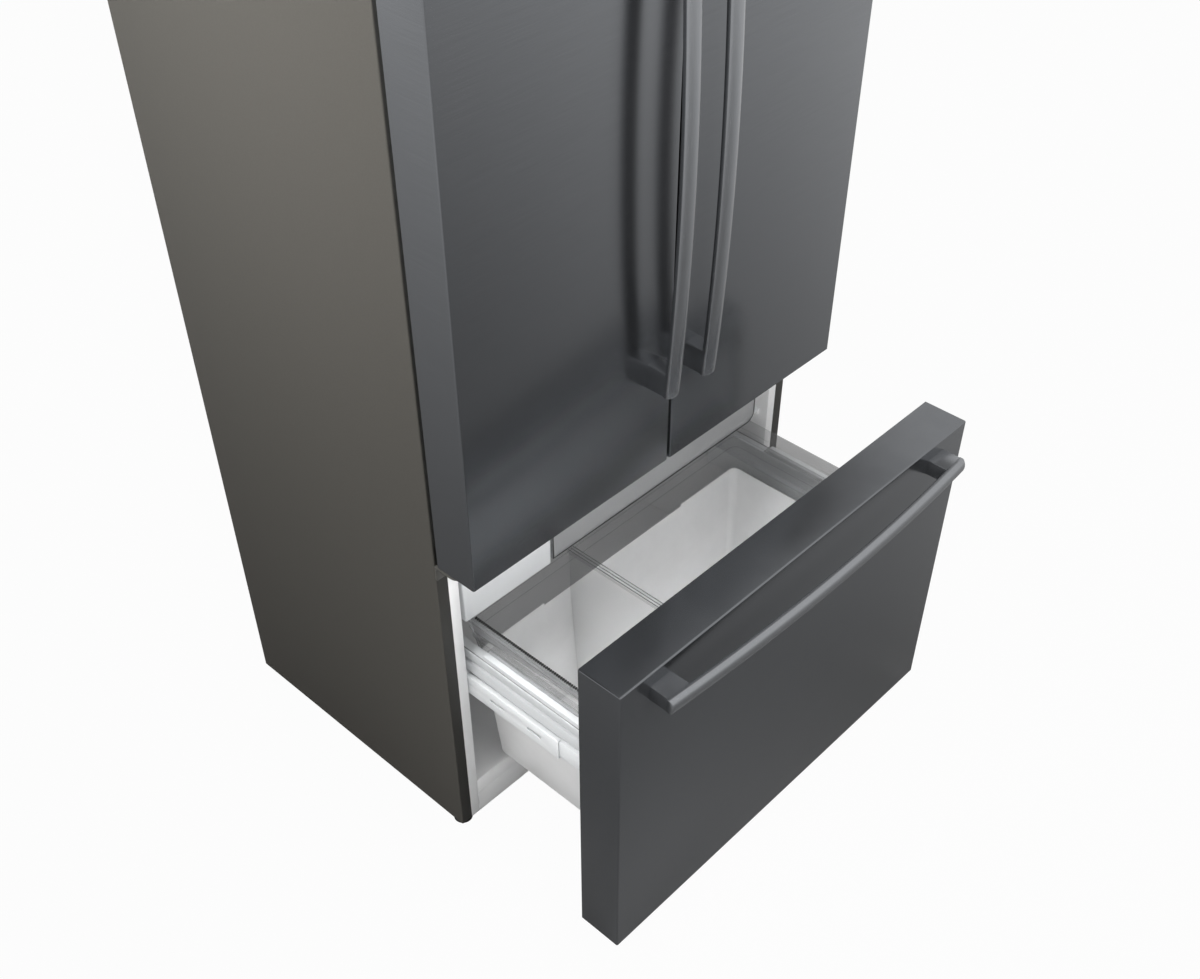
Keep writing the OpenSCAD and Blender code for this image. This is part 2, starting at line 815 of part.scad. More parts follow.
module shelf_frames() color(white_plastic) seat()
    for (k = shelf_levels_share) translate([0, 0, shelf_height(k)]) difference() {
        block([-open_half + side_gap, shelf_front_y, 0], [open_half - side_gap, shelf_front_y + glass_depth, rim_h]);
        block([-open_half + side_gap + rim_w, shelf_front_y + rim_w, -over],
            [open_half - side_gap - rim_w, shelf_front_y + glass_depth - rim_w, rim_h + over]);
        block([-open_half + side_gap + rim_w - rim_seat, shelf_front_y + rim_w - rim_seat, rim_h - glass_t],
            [open_half - side_gap - rim_w + rim_seat, shelf_front_y + glass_depth - rim_w + rim_seat,
                rim_h + over]);
    }

module air_duct() color(white_plastic) seat() difference() {
    z0 = fresh_floor + duct_z0;
    translate([0, 0, z0]) linear_extrude(duct_h) polygon([
        [-duct_w / 2, fresh_d], [-duct_w / 2 + duct_t, fresh_d - duct_t],
        [duct_w / 2 - duct_t, fresh_d - duct_t], [duct_w / 2, fresh_d]
    ]);
    for (i = [1 : vent_count]) for (x = [-1, 1])
        translate([x * duct_w / 4, fresh_d - duct_t, z0 + i * duct_h / (vent_count + 1)])
            cube([vent_w / 2, duct_t, vent_h], center = true);
}

module ceiling_light() color([0.95, 0.95, 0.9]) seat()
    translate([0, shelf_front_y / 2 + light_d, fresh_top - light_h]) linear_extrude(light_h)
        rounded(-light_w / 2, -light_d / 2, light_w / 2, light_d / 2, light_h);

// Guide in the ceiling with the curved groove that turns the flap
module flap_guide() color(white_plastic) seat() difference() {
    block([-guide_w / 2, guide_y, fresh_top - guide_h], [guide_w / 2, guide_y + guide_d, fresh_top]);
    translate([flap_pivot_x, flap_pivot_y, fresh_top - guide_h - over]) difference() {
        cylinder(h = guide_h / 2 + over, r = flap_w - 2 * flap_pin_r);
        translate([0, 0, -over]) cylinder(h = guide_h + 3 * over, r = flap_w - 5 * flap_pin_r);
    }
}

// Slides

// Channel section of a slide member in X and Z, open towards the middle of the cabinet
module channel(x, depth, h, t) {
    translate([-x, slide_z - h / 2]) square([t, h]);
    translate([-x, slide_z - h / 2]) square([depth, t]);
    translate([-x, slide_z + h / 2 - t]) square([depth, t]);
}

module cabinet_rails() color(white_plastic) seat() pair() {
    along(rail_front, rail_front + rail_len)
        channel(open_half, rail_depth, rail_h, slide_wall);
    difference() {
        block([-open_half, rail_front / 2, slide_z - rail_h / 2 - rail_tab_drop],
            [-open_half + slide_wall, rail_front / 2 + rail_tab_w, slide_z + rail_h / 2]);
        block([-open_half - over, rail_front / 2 + rail_tab_w / 3, slide_z - rail_h / 2 - rail_tab_drop / 2 - slot_h],
            [-open_half + slide_wall + over, rail_front / 2 + rail_tab_w / 3 + slot_h,
                slide_z - rail_h / 2 - rail_tab_drop / 2 + slot_h]);
    }
}

middle_h = rail_h - 2 * slide_wall - 2 * slide_gap;
middle_x = open_half - slide_wall - 3 * slide_gap;
inner_h = middle_h - 2 * slide_wall - 2 * slide_gap;
inner_x = middle_x - slide_wall - 3 * slide_gap;
// Outer edge of the shelf that the side frame stands on, clear of the cabinet rail
carrier_x = open_half - rail_depth - slide_gap;

module middle_slides() color(white_plastic) seat() pair() {
    y0 = -slide_share * drawer_out;
    difference() {
        along(y0, y0 + slide_len) channel(middle_x, inner_gap_depth, middle_h, slide_wall);
        for (i = [0 : slot_count - 1])
            block([-middle_x - over, y0 + slot_first + i * slot_step, slide_z - slot_h / 2],
                [-middle_x + slide_wall + over, y0 + slot_first + i * slot_step + slot_len, slide_z + slot_h / 2]);
    }
}

inner_gap_depth = 8.4;

// Inner slide member with the shelf that the side frame stands on
module drawer_slides() color(white_plastic) seat() pair() {
    along(drawer_back, drawer_back + slide_len) {
        translate([-inner_x, slide_z - inner_h / 2]) square([slide_wall, inner_h]);
        translate([-inner_x, slide_z - inner_h / 2]) square([inner_x - frame_in, slide_wall]);
        translate([-inner_x, slide_z + inner_h / 2 - slide_wall]) square([inner_x - frame_in, slide_wall]);
        translate([-frame_in - slide_wall, slide_z - inner_h / 2])
            square([slide_wall, frame_bottom - slide_z + inner_h / 2]);
        translate([-carrier_x, frame_bottom - slide_wall]) square([carrier_x - frame_in, slide_wall]);
    }
}

// Side frame that carries the bin: a long white section with two bands, a groove and a cap
module drawer_frames() color(white_plastic) seat() pair() {
    cap_z = frame_top - frame_cap;
    band_z = cap_z - frame_score - frame_band;
    groove_z = band_z - frame_groove;
    along(drawer_back, drawer_back + slide_len) polygon([
        [-frame_in, frame_bottom], [-frame_out, frame_bottom], [-frame_out, groove_z],
        [-frame_out + frame_groove_d, groove_z], [-frame_out + frame_groove_d, band_z],
        [-frame_out, band_z], [-frame_out, cap_z - frame_score],
        [-frame_out + frame_groove_d / 2, cap_z], [-frame_in, cap_z],
        [-frame_in, cap_z - frame_web], [-frame_out + frame_groove_d + frame_web, cap_z - frame_web],
        [-frame_out + frame_groove_d + frame_web, frame_bottom + frame_web],
        [-frame_in, frame_bottom + frame_web]
    ]);
    block([-frame_out + frame_groove_d / 2, drawer_back, cap_z],
        [-frame_in, drawer_back + frame_cap_len, frame_top]);
}

// Freezer bin

floor_outline = [-bin_floor_half, bin_front + bin_draft, bin_floor_half, bin_rear - bin_draft];
joint_outline = [-bin_body_half, bin_front, bin_body_half, bin_rear];
rim_outline = [-bin_rim_half, bin_front, bin_rim_half, bin_rear + rim_draft];

module freezer_bin() color(white_plastic) seat() difference() {
    drafted(floor_outline, joint_outline, bin_bottom, bin_joint, bin_corner);
    drafted(inset(floor_outline, bin_t), inset(joint_outline, bin_t),
        bin_bottom + bin_t, bin_joint + sliver, bin_corner - bin_t);
    block([-joint_notch_w / 2, bin_rear - bin_draft, bin_joint - joint_notch_h],
        [joint_notch_w / 2, bin_rear + over, bin_joint + over]);
}

module bin_collar() color(clear_plastic) seat() {
    difference() {
        union() {
            drafted(joint_outline, rim_outline, bin_joint, bin_rim, bin_corner);
            for (i = [1 : rib_levels]) {
                k = (i + 1) / (rib_levels + 2);
                grow = rim_draft * k + rib_out;
                z = bin_joint + k * (bin_rim - bin_joint);
                translate([0, 0, z - rib_h / 2]) linear_extrude(rib_h)
                    rounded(-bin_body_half - grow, bin_front, bin_body_half + grow, bin_rear + grow, bin_corner);
            }
            translate([0, 0, bin_rim - rim_t]) linear_extrude(rim_t)
                rounded(-bin_rim_half - rim_lip, bin_front, bin_rim_half + rim_lip,
                    bin_rear + rim_draft + rim_lip, bin_corner);
            block([-joint_notch_w / 2 + seat_gap, bin_rear - bin_t, bin_joint - joint_notch_h + seat_gap],
                [joint_notch_w / 2 - seat_gap, bin_rear - over / 2, bin_joint + over]);
            pair() block([-bin_flange_reach, bin_front, frame_top],
                [-bin_body_half, bin_front + frame_cap_len, frame_top + bin_flange_t]);
        }
        drafted(inset(joint_outline, bin_t), inset(rim_outline, bin_t),
            bin_joint - sliver, bin_rim + sliver, bin_corner - bin_t);
    }
}

// Divider that stands across the bin and can be moved sideways
module bin_divider() color(clear_plastic) seat() {
    inner_floor = bin_bottom + bin_t + seat_gap;
    front = bin_front + bin_t + divider_gap;
    rear = bin_rear - bin_t - divider_gap;
    translate([-divider_x, 0, 0]) {
        across(divider_t) polygon([
            [front + bin_draft, inner_floor], [rear - bin_draft, inner_floor],
            [rear, bin_joint], [rear, divider_top], [front, divider_top], [front, bin_joint]
        ]);
        difference() {
            block([-divider_rail_w / 2, front, divider_top - divider_rail_h],
                [divider_rail_w / 2, rear, divider_top]);
            block([-divider_groove_x - divider_groove_w, front - over, divider_top - divider_groove_deep],
                [-divider_groove_x, rear + over, divider_top + over]);
        }
    }
}

// Upper part of the freezer

module tray_shelf() color(white_plastic) seat() difference() {
    block([-open_half, shelf_front, shelf_z], [open_half, shelf_back, shelf_z + shelf_t - seat_gap]);
    for (i = [0 : slats - 1]) translate([(i - (slats - 1) / 2) * slat_step, (shelf_front + shelf_back) / 2, 0])
        block([-slat_w / 2, -slat_len / 2, shelf_z - over], [slat_w / 2, slat_len / 2, shelf_z + shelf_t + over]);
}

// Clear tray: its front panel has one round lower corner
module freezer_tray() color(clear_plastic) seat() {
    z0 = shelf_z + shelf_t;
    wall = tray_panel_t;
    outline = [tray_left, tray_front + wall, tray_right, tray_front + tray_d];
    inside = [tray_left + tray_t, tray_front + wall, tray_right - tray_t, tray_front + tray_d - tray_t];
    difference() {
        drafted([outline[0] + wall, outline[1], outline[2] - wall, outline[3] - wall],
            outline, z0, tray_top - wall, tray_t);
        drafted([inside[0] + wall, inside[1], inside[2] - wall, inside[3] - wall],
            inside, z0 + tray_t, tray_top, tray_t / 2);
    }
    along(tray_front, tray_front + wall) {
        difference() {
            translate([tray_left, z0 + tray_panel_up])
                square([tray_right - tray_left, tray_top - z0 - tray_panel_up]);
            translate([tray_right - tray_corner, z0 + tray_panel_up])
                square([tray_corner + over, tray_corner]);
        }
        translate([tray_right - tray_corner, z0 + tray_panel_up + tray_corner]) circle(tray_corner);
    }
}

module ice_bin() color(white_plastic) seat() {
    z0 = shelf_z + shelf_t;
    outline = [ice_left, tray_front, ice_right, tray_front + tray_d];
    difference() {
        drafted([ice_left + tray_t, tray_front, ice_right - tray_t, tray_front + tray_d - tray_t],
            outline, z0, tray_top, tray_t);
        drafted([ice_left + 2 * tray_t, tray_front + tray_t, ice_right - 2 * tray_t,
                tray_front + tray_d - 2 * tray_t],
            inset(outline, tray_t), z0 + tray_t, tray_top + sliver, tray_t / 2);
    }
}

// Cooling plant behind the freezer

module evaporator_cover() color(white_plastic) seat() {
    z0 = freezer_step + step_slope;
    along(evap_cover_y, evap_cover_y + evap_cover_t) {
        difference() {
            translate([-open_half, z0]) square([2 * open_half, freezer_top - z0]);
            translate([0, evap_fan_z]) circle(evap_fan_r);
            for (i = [0 : return_vents - 1])
                translate([(i - (return_vents - 1) / 2) * return_step - return_w / 2, z0 + bin_corner])
                    square([return_w, vent_h]);
        }
        translate([0, evap_fan_z]) {
            for (i = [1 : grille_rings]) difference() {
                circle(evap_fan_r * i / (grille_rings + 1) + fin_t);
                circle(evap_fan_r * i / (grille_rings + 1) - fin_t);
            }
            for (a = [0 : 60 : 120]) rotate([0, 0, a])
                square([2 * evap_fan_r + 2 * fin_t, 2 * fin_t], center = true);
        }
    }
    translate([0, evap_fan_y, evap_fan_z]) rotate([-90, 0, 0]) motor(evap_fan_r + plate_t, 3);
    for (i = [0 : 2]) translate([0, evap_fan_y, evap_fan_z]) rotate([-90, 0, 0])
        rotate([0, 0, (i + 0.5) * 120])
            block([evap_fan_r + over, -hub_r / 4, evap_cover_y + evap_cover_t - evap_fan_y],
                [evap_fan_r + plate_t, hub_r / 4, fan_depth / 2 + fan_gap / 3 + motor_len - plate_t]);
}

evap_fan_y = evap_cover_y + evap_cover_t + fan_gap + fan_depth / 2;

module evaporator_fan() color(black_paint) seat()
    translate([0, evap_fan_y, evap_fan_z]) rotate([-90, 0, 0]) rotor(evap_fan_r - blade_t, fan_blades);

module evaporator() color(zinc) seat() {
    coil(-evap_half, evap_half, evap_front, freezer_up_d - coil_r, evap_low, evap_high, 2, evap_rows, evap_fins);
    for (x = [-evap_half, evap_half - fin_t]) block([x, evap_front, evap_low], [x + fin_t, freezer_up_d, evap_high]);
}

// Machine compartment

module compressor() color(black_paint) seat() translate([comp_x, comp_y, comp_foot_z]) {
    difference() {
        translate([0, 0, 0]) linear_extrude(comp_foot_t)
            rounded(-comp_foot_w / 2, -comp_foot_d / 2, comp_foot_w / 2, comp_foot_d / 2, grommet_r);
        for (x = [-stud_x, stud_x], y = [-stud_y, stud_y])
            translate([x, y, -over]) cylinder(h = comp_foot_t + 2 * over, r = grommet_neck + run_gap);
    }
    dome = comp_r * dome_share;
    rotate_extrude($fn = 2 * $fn) {
        square([comp_r * base_share, comp_h * base_h_share]);
        translate([0, dome / 2]) square([comp_r, comp_h - dome - dome / 2]);
        intersection() {
            translate([comp_r - dome, comp_h - dome]) circle(dome);
            translate([comp_r - dome, comp_h - dome]) square([dome, dome]);
        }
        translate([0, comp_h - dome]) square([comp_r - dome, dome]);
        translate([0, comp_h / 2]) square([comp_r + fin_t * 2, fin_t * 4]);
    }
    translate([0, -comp_r / 2, comp_h * stub_share]) rotate([90, 0, 0])
        cylinder(h = comp_r * (dome_share + stub_share) - fin_t, r = grommet_neck);
}

module grommets() color([0.1, 0.1, 0.1]) seat() translate([comp_x, comp_y, 0])
    for (x = [-stud_x, stud_x], y = [-stud_y, stud_y]) translate([x, y, 0]) rotate_extrude() difference() {
        union() {
            translate([0, cab_clear + base_t]) square([grommet_r, comp_foot_z - cab_clear - base_t]);
            translate([0, comp_foot_z]) square([grommet_neck, comp_foot_t]);
            translate([0, comp_foot_z + comp_foot_t]) square([grommet_r, comp_foot_t * 1.5]);
        }
        translate([0, cab_clear]) square([stud_r, comp_foot_z]);
        translate([grommet_r, (cab_clear + comp_foot_z) / 2]) circle(grommet_r / 4);
    }

module condenser() color(black_paint) seat() {
    coil(cond_x0, cond_x1, cond_y0, cond_y1, cond_z0, cond_z1, cond_rows, cond_cols, cond_fins);
    for (x = [cond_x0, cond_x1 - fin_t]) block([x, cond_y0, cab_clear + base_t], [x + fin_t, cond_y1, cond_z1]);
}

module drain_pan() color(black_paint) seat() difference() {
    z0 = cab_clear + base_t;
    drafted([cond_x0 + 2 * pan_margin, cond_y0 + pan_margin, cond_x1 - 2 * pan_margin, cond_y1 - pan_margin],
        [cond_x0 + pan_margin, cond_y0, cond_x1 - pan_margin, cond_y1], z0, z0 + pan_h, pan_margin);
    drafted([cond_x0 + 2 * pan_margin + pan_t, cond_y0 + pan_margin + pan_t, cond_x1 - 2 * pan_margin - pan_t,
            cond_y1 - pan_margin - pan_t],
        [cond_x0 + pan_margin + pan_t, cond_y0 + pan_t, cond_x1 - pan_margin - pan_t, cond_y1 - pan_t],
        z0 + pan_t, z0 + pan_h + sliver, pan_margin - pan_t);
}

module fan_shroud() color(black_paint) seat() {
    difference() {
        block([shroud_x, shroud_y0, cab_clear + base_t], [shroud_x + shroud_t, shroud_y1, plant_top - seat_gap]);
        translate([shroud_x - over, fan_y, fan_z]) rotate([0, 90, 0])
            cylinder(h = shroud_t + 2 * over, r = fan_r + fan_gap);
    }
    translate([fan_x, fan_y, fan_z]) rotate([0, -90, 0]) {
        motor(fan_r + fan_gap + plate_t, 3);
        for (i = [0 : 2]) rotate([0, 0, (i + 0.5) * 120])
            block([fan_r + fan_gap, -hub_r / 4, fan_x - shroud_x - over],
                [fan_r + fan_gap + plate_t, hub_r / 4, fan_depth / 2 + fan_gap / 3 + motor_len - plate_t]);
    }
}

fan_x = shroud_x - fan_depth / 2 - fan_gap / 3;

module condenser_fan() color(black_paint) seat()
    translate([fan_x, fan_y, fan_z]) rotate([0, -90, 0]) rotor(fan_r, fan_blades);

// Discharge line from the compressor to the condenser, and suction line up into the cabinet
module refrigerant_lines() color(copper) seat() {
    wall_y = plant_front + 3 * line_r;
    low_z = cond_z0 + (cond_z1 - cond_z0) / cond_cols / 4;
    coil_y = cond_y0 + (cond_y1 - cond_y0) / cond_rows / 2;
    out_z = comp_foot_z + comp_h * out_share;
    back_z = comp_foot_z + comp_h * back_share;
    pipe([
        [comp_x + comp_r, comp_y, out_z],
        [comp_x + comp_r + line_run, comp_y, out_z],
        [comp_x + comp_r + line_run, wall_y, out_z],
        [comp_x + comp_r + line_run, wall_y, low_z],
        [cond_x0 - line_run / 2, wall_y, low_z],
        [cond_x0 - line_run / 2, coil_y, low_z],
        [cond_x0, coil_y, low_z]
    ], line_r, line_bend);
    pipe([
        [comp_x, comp_y - comp_r, back_z],
        [comp_x, wall_y + suction_r, back_z],
        [comp_x, wall_y + suction_r, plant_top]
    ], suction_r, line_bend);
}

// Bush in the machine cover that a supply cord passes through
module cord_gland() color(black_paint) seat() at_gland() difference() {
    cylinder(h = bead_h, r = grommet_r);
    translate([0, 0, -over]) cylinder(h = bead_h + 2 * over, r = gland_hole_r);
}

// Doors, drawn for the left side

module door_skin() difference() {
    block([-half_w, door_front, door_bottom], [-door_edge, door_back, door_top]);
    block([-half_w + skin_t, door_front + skin_t, door_bottom - over],
        [-door_edge - skin_t, door_back + over, door_top + over]);
}

module door_caps() for (z = [door_bottom, door_top - cap_h]) difference() {
    block([-half_w + skin_t, door_front + skin_t, z], [-door_edge - skin_t, door_back, z + cap_h]);
    translate([-hinge_x, hinge_y, z - over]) cylinder(h = cap_h + 2 * over, r = pin_r);
}

// Moulded inner panel on its foam, with the dyke that holds the bins
module door_liner() {
    block([-half_w + skin_t, door_front + skin_t, door_bottom + cap_h],
        [-door_edge - skin_t, door_back, door_top - cap_h]);
    z0 = fresh_floor + dyke_end;
    z1 = fresh_top - dyke_end;
    difference() {
        block([-half_w + dyke_side, door_back - over, z0], [-dyke_free, dyke_out, z1]);
        block([-half_w + dyke_side + dyke_w, door_back, z0 + dyke_w],
            [-dyke_free - dyke_w, dyke_out + over, z1 - dyke_w]);
    }
    for (i = [0 : bin_levels - 1], x = [-half_w + dyke_side + dyke_w, -dyke_free - dyke_w - hook_w])
        block([x, door_back - over, fresh_floor + bin_first_z + i * bin_step_z - hook_h],
            [x + hook_w, dyke_out, fresh_floor + bin_first_z + i * bin_step_z]);
}

module flap_lugs() for (z = [flap_z0 - lug_gap - lug_t, flap_z1 + lug_gap]) difference() {
    block([-dyke_free - over, lug_gap - seal_rest, z], [flap_pivot_x + 2 * flap_pin_r, dyke_out, z + lug_t]);
    translate([flap_pivot_x, flap_pivot_y, z - over]) cylinder(h = lug_t + 2 * over, r = flap_pin_r + run_gap);
}

module door_gasket() difference() {
    block([-hinge_x, door_back, fresh_floor - seal_w],
        [-door_edge - seal_free, -seal_rest, fresh_top + seal_w]);
    block([-hinge_x + seal_w, door_back - over, fresh_floor],
        [-door_edge - seal_free - seal_w, over, fresh_top]);
}

module door_bins() for (i = [0 : bin_levels - 1]) translate([0, 0, fresh_floor + bin_first_z + i * bin_step_z])
    difference() {
        x0 = -half_w + dyke_side + dyke_w;
        x1 = -dyke_free - dyke_w;
        drafted([x0, door_back, x1, door_back + door_bin_d - 2 * bin_wall],
            [x0, door_back, x1, door_back + door_bin_d], 0, door_bin_h, bin_wall);
        drafted([x0 + bin_wall, door_back + bin_wall, x1 - bin_wall, door_back + door_bin_d - 3 * bin_wall],
            [x0 + bin_wall, door_back + bin_wall, x1 - bin_wall, door_back + door_bin_d - bin_wall],
            bin_wall, door_bin_h + sliver, bin_wall / 2);
    }

module door_handle() translate([-door_edge - handle_in, door_front, (door_bottom + door_top) / 2])
    rotate([0, 90, 0]) handle(handle_len);

module left_door_skin() color(dark_steel) seat() door_skin();
module left_door_caps() color(dark_steel) seat() door_caps();
module left_door_liner() color(white_plastic) seat() {
    door_liner();
    flap_lugs();
}
module left_door_gasket() color(seal_grey) seat() door_gasket();
module left_door_bins() color(clear_plastic) seat() door_bins();
module left_handle() color(dark_steel) seat() door_handle();
module right_door_skin() color(dark_steel) seat() mirror([1, 0, 0]) door_skin();
module right_door_caps() color(dark_steel) seat() mirror([1, 0, 0]) door_caps();
module right_door_liner() color(white_plastic) seat() mirror([1, 0, 0]) door_liner();
module right_door_gasket() color(seal_grey) seat() mirror([1, 0, 0]) door_gasket();
module right_door_bins() color(clear_plastic) seat() mirror([1, 0, 0]) door_bins();
module right_handle() color(dark_steel) seat() mirror([1, 0, 0]) door_handle();

// Flap on the left door, folded back as it lies beside an opened door
module mullion_flap() color(white_plastic) seat() {
    block([flap_pivot_x - flap_back, flap_pivot_y - flap_nose, flap_z0],
        [flap_pivot_x - flap_back + flap_t, flap_pivot_y - flap_nose + flap_w, flap_z1]);
    translate([flap_pivot_x, flap_pivot_y, flap_z0 - lug_gap - lug_t])
        cylinder(h = flap_z1 - flap_z0 + 2 * (lug_gap + lug_t), r = flap_pin_r);
}

// Freezer drawer front

module drawer_skin() color(dark_steel) seat() difference() {
    block([-half_w, drawer_y, drawer_bottom], [half_w, drawer_back, drawer_top]);
    block([-half_w + skin_t, drawer_y + skin_t, drawer_bottom + skin_t],
        [half_w - skin_t, drawer_back + over, drawer_top - skin_t]);
}

module drawer_liner() color(white_plastic) seat()
    block([-half_w + skin_t, drawer_y + skin_t, drawer_bottom + skin_t],
        [half_w - skin_t, drawer_back, drawer_top - skin_t]);

module drawer_gasket() color(seal_grey) seat() difference() {
    block([-half_w + drawer_seal_in, drawer_back, drawer_bottom + drawer_seal_low],
        [half_w - drawer_seal_in, drawer_back + drawer_seal_t, drawer_top - drawer_seal_drop]);
    block([-half_w + drawer_seal_in + drawer_seal_w, drawer_back - over,
            drawer_bottom + drawer_seal_low + drawer_seal_w],
        [half_w - drawer_seal_in - drawer_seal_w, drawer_back + drawer_seal_t + over,
            drawer_top - drawer_seal_drop - drawer_seal_w]);
}

module drawer_handle() color(dark_steel) seat()
    translate([0, drawer_y, drawer_top - drawer_handle_drop - bar_w / 2]) handle(drawer_handle_len);

// Crispers, drawn for the left side

module crisper() {
    z0 = fresh_floor + skid_h + seat_gap;
    high = [-open_half + crisper_side, crisper_y, -crisper_mid, crisper_y + crisper_d];
    low = [high[0] + crisper_draft, high[1] + crisper_draft / 2, high[2] - crisper_draft,
        high[3] - crisper_draft];
    difference() {
        union() {
            drafted(low, high, z0, z0 + crisper_h, crisper_corner);
            block([high[0] + crisper_corner, high[1] - crisper_lip, z0 + crisper_h - crisper_lip],
                [high[2] - crisper_corner, high[1] + crisper_corner, z0 + crisper_h]);
        }
        drafted(inset(low, crisper_t), inset(high, crisper_t), z0 + crisper_t,
            z0 + crisper_h + sliver, crisper_corner - crisper_t);
        block([high[0], high[1] - crisper_lip + crisper_t, z0],
            [high[2], high[1] - crisper_t, z0 + crisper_h - crisper_t]);
    }
}

module left_crisper() color(clear_plastic) seat() crisper();
module right_crisper() color(clear_plastic) seat() mirror([1, 0, 0]) crisper();

// Rollers and feet

module rear_rollers() color(black_paint) seat() for (s = [-1, 1])
    translate([s * roller_x, roller_y, roller_r]) rotate([0, 90, 0]) difference() {
        cylinder(h = roller_w, r = roller_r, center = true);
        cylinder(h = roller_w + 2 * over, r = axle_r, center = true);
    }

module foot() translate([-foot_x, foot_y, 0]) {
    cylinder(h = foot_h, r = foot_r);
    translate([0, 0, foot_h]) cylinder(h = foot_hex_h, r = foot_hex_r, $fn = 6);
    cylinder(h = cab_clear + base_h - seat_gap, r = stem_r);
}

module left_foot() color(black_paint) seat() foot();
module right_foot() color(black_paint) seat() mirror([1, 0, 0]) foot();

outer_case();
rear_panel();
machine_cover();
base_frame();
insulation();
fresh_liner();
freezer_liner();
front_sill();
top_hinges();
middle_hinges();
hinge_covers();
glass_shelves();
shelf_frames();
air_duct();
ceiling_light();
flap_guide();
cabinet_rails();
tray_shelf();
freezer_tray();
ice_bin();
evaporator_cover();
evaporator();
compressor();
grommets();
condenser();
fan_shroud();
drain_pan();
refrigerant_lines();
cord_gland();
left_door_skin();
left_door_liner();
left_door_caps();
left_door_gasket();
left_handle();
left_door_bins();
right_door_skin();
right_door_liner();
right_door_caps();
right_door_gasket();
right_handle();
right_door_bins();
mullion_flap();
drawer_skin();
drawer_liner();
drawer_gasket();
drawer_handle();
drawer_frames();
drawer_slides();
freezer_bin();
bin_collar();
bin_divider();
middle_slides();
left_crisper();
right_crisper();
condenser_fan();
evaporator_fan();
rear_rollers();
left_foot();
right_foot();
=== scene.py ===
import json
import math

import bmesh
import bpy
from mathutils import Euler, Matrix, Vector


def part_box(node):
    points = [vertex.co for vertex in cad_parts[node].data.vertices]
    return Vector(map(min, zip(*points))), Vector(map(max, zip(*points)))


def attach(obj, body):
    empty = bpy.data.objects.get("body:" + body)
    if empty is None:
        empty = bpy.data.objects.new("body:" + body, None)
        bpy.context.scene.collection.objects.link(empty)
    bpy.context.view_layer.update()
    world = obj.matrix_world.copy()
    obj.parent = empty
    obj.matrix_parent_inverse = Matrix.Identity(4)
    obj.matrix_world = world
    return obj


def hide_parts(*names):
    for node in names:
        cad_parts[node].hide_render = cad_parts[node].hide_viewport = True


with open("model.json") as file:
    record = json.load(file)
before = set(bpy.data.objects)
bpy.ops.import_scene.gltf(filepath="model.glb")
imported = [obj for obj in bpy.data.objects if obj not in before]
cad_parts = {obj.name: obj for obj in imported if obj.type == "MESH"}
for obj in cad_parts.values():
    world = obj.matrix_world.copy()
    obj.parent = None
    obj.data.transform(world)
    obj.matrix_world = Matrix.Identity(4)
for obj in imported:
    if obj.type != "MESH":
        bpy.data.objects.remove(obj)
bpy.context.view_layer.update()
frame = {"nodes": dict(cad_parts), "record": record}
mm = 0.001
along = 0.9  # a direction or normal with this much of it on an axis counts as along the axis
across = 0.1  # and with less than this as across it
touch = 0.1 * mm  # an edge or face this near to a side counts as on it


def clearSelection():
    if bpy.context.object and bpy.context.object.mode != "OBJECT":
        bpy.ops.object.mode_set(mode="OBJECT")
    bpy.ops.object.select_all(action="DESELECT")


def makeActive(piece):
    clearSelection()
    bpy.context.view_layer.objects.active = piece
    piece.select_set(True)


def addBlock(name, low, high):  # a box primitive at its size and place, left in edit mode
    clearSelection()
    middle = [(a + b) / 2 for a, b in zip(low, high)]
    size = [b - a for a, b in zip(low, high)]
    bpy.ops.mesh.primitive_cube_add(size=1, location=middle, scale=size)
    piece = bpy.context.object
    piece.name = piece.data.name = name
    bpy.ops.object.transform_apply(location=True, rotation=True, scale=True)
    bpy.ops.object.mode_set(mode="EDIT")
    bpy.ops.mesh.select_all(action="DESELECT")
    return piece


def addRod(name, centre, radius, length, sides):  # a cylinder primitive along Y, left in edit mode
    clearSelection()
    bpy.ops.mesh.primitive_cylinder_add(vertices=sides, radius=radius, depth=length,
                                        location=centre, rotation=(math.pi / 2, 0, 0))
    piece = bpy.context.object
    piece.name = piece.data.name = name
    bpy.ops.object.transform_apply(location=True, rotation=True, scale=True)
    bpy.ops.object.mode_set(mode="EDIT")
    bpy.ops.mesh.select_all(action="DESELECT")
    return piece


def pickFaces(piece, test):  # selects the faces whose centre c and normal n pass the test
    bpy.ops.mesh.select_mode(type="FACE")
    bpy.ops.mesh.select_all(action="DESELECT")
    shape = bmesh.from_edit_mesh(piece.data)
    for face in shape.faces:
        if test(face.calc_center_median(), face.normal):
            face.select_set(True)
    bmesh.update_edit_mesh(piece.data)


def pickEdges(piece, test):  # selects the edges whose middle c and direction d pass the test
    bpy.ops.mesh.select_mode(type="EDGE")
    bpy.ops.mesh.select_all(action="DESELECT")
    shape = bmesh.from_edit_mesh(piece.data)
    for edge in shape.edges:
        a, b = (v.co for v in edge.verts)
        if test((a + b) / 2, (b - a).normalized()):
            edge.select_set(True)
    bmesh.update_edit_mesh(piece.data)


def bevelPicked(width, segments):
    bpy.ops.mesh.bevel(offset=width, offset_type="OFFSET", segments=segments, affect="EDGES")


def useModifier(piece, kind, **settings):
    makeActive(piece)
    modifier = piece.modifiers.new(kind.title(), kind)
    for key, value in settings.items():
        setattr(modifier, key, value)
    bpy.ops.object.modifier_apply(modifier=modifier.name)


def roundEdges(piece, width, segments=2, angle=35):
    useModifier(piece, "BEVEL", width=width, segments=segments, limit_method="ANGLE",
                angle_limit=math.radians(angle), use_clamp_overlap=True)


def shade(piece, angle=32):
    makeActive(piece)
    bpy.ops.object.shade_smooth_by_angle(angle=math.radians(angle))


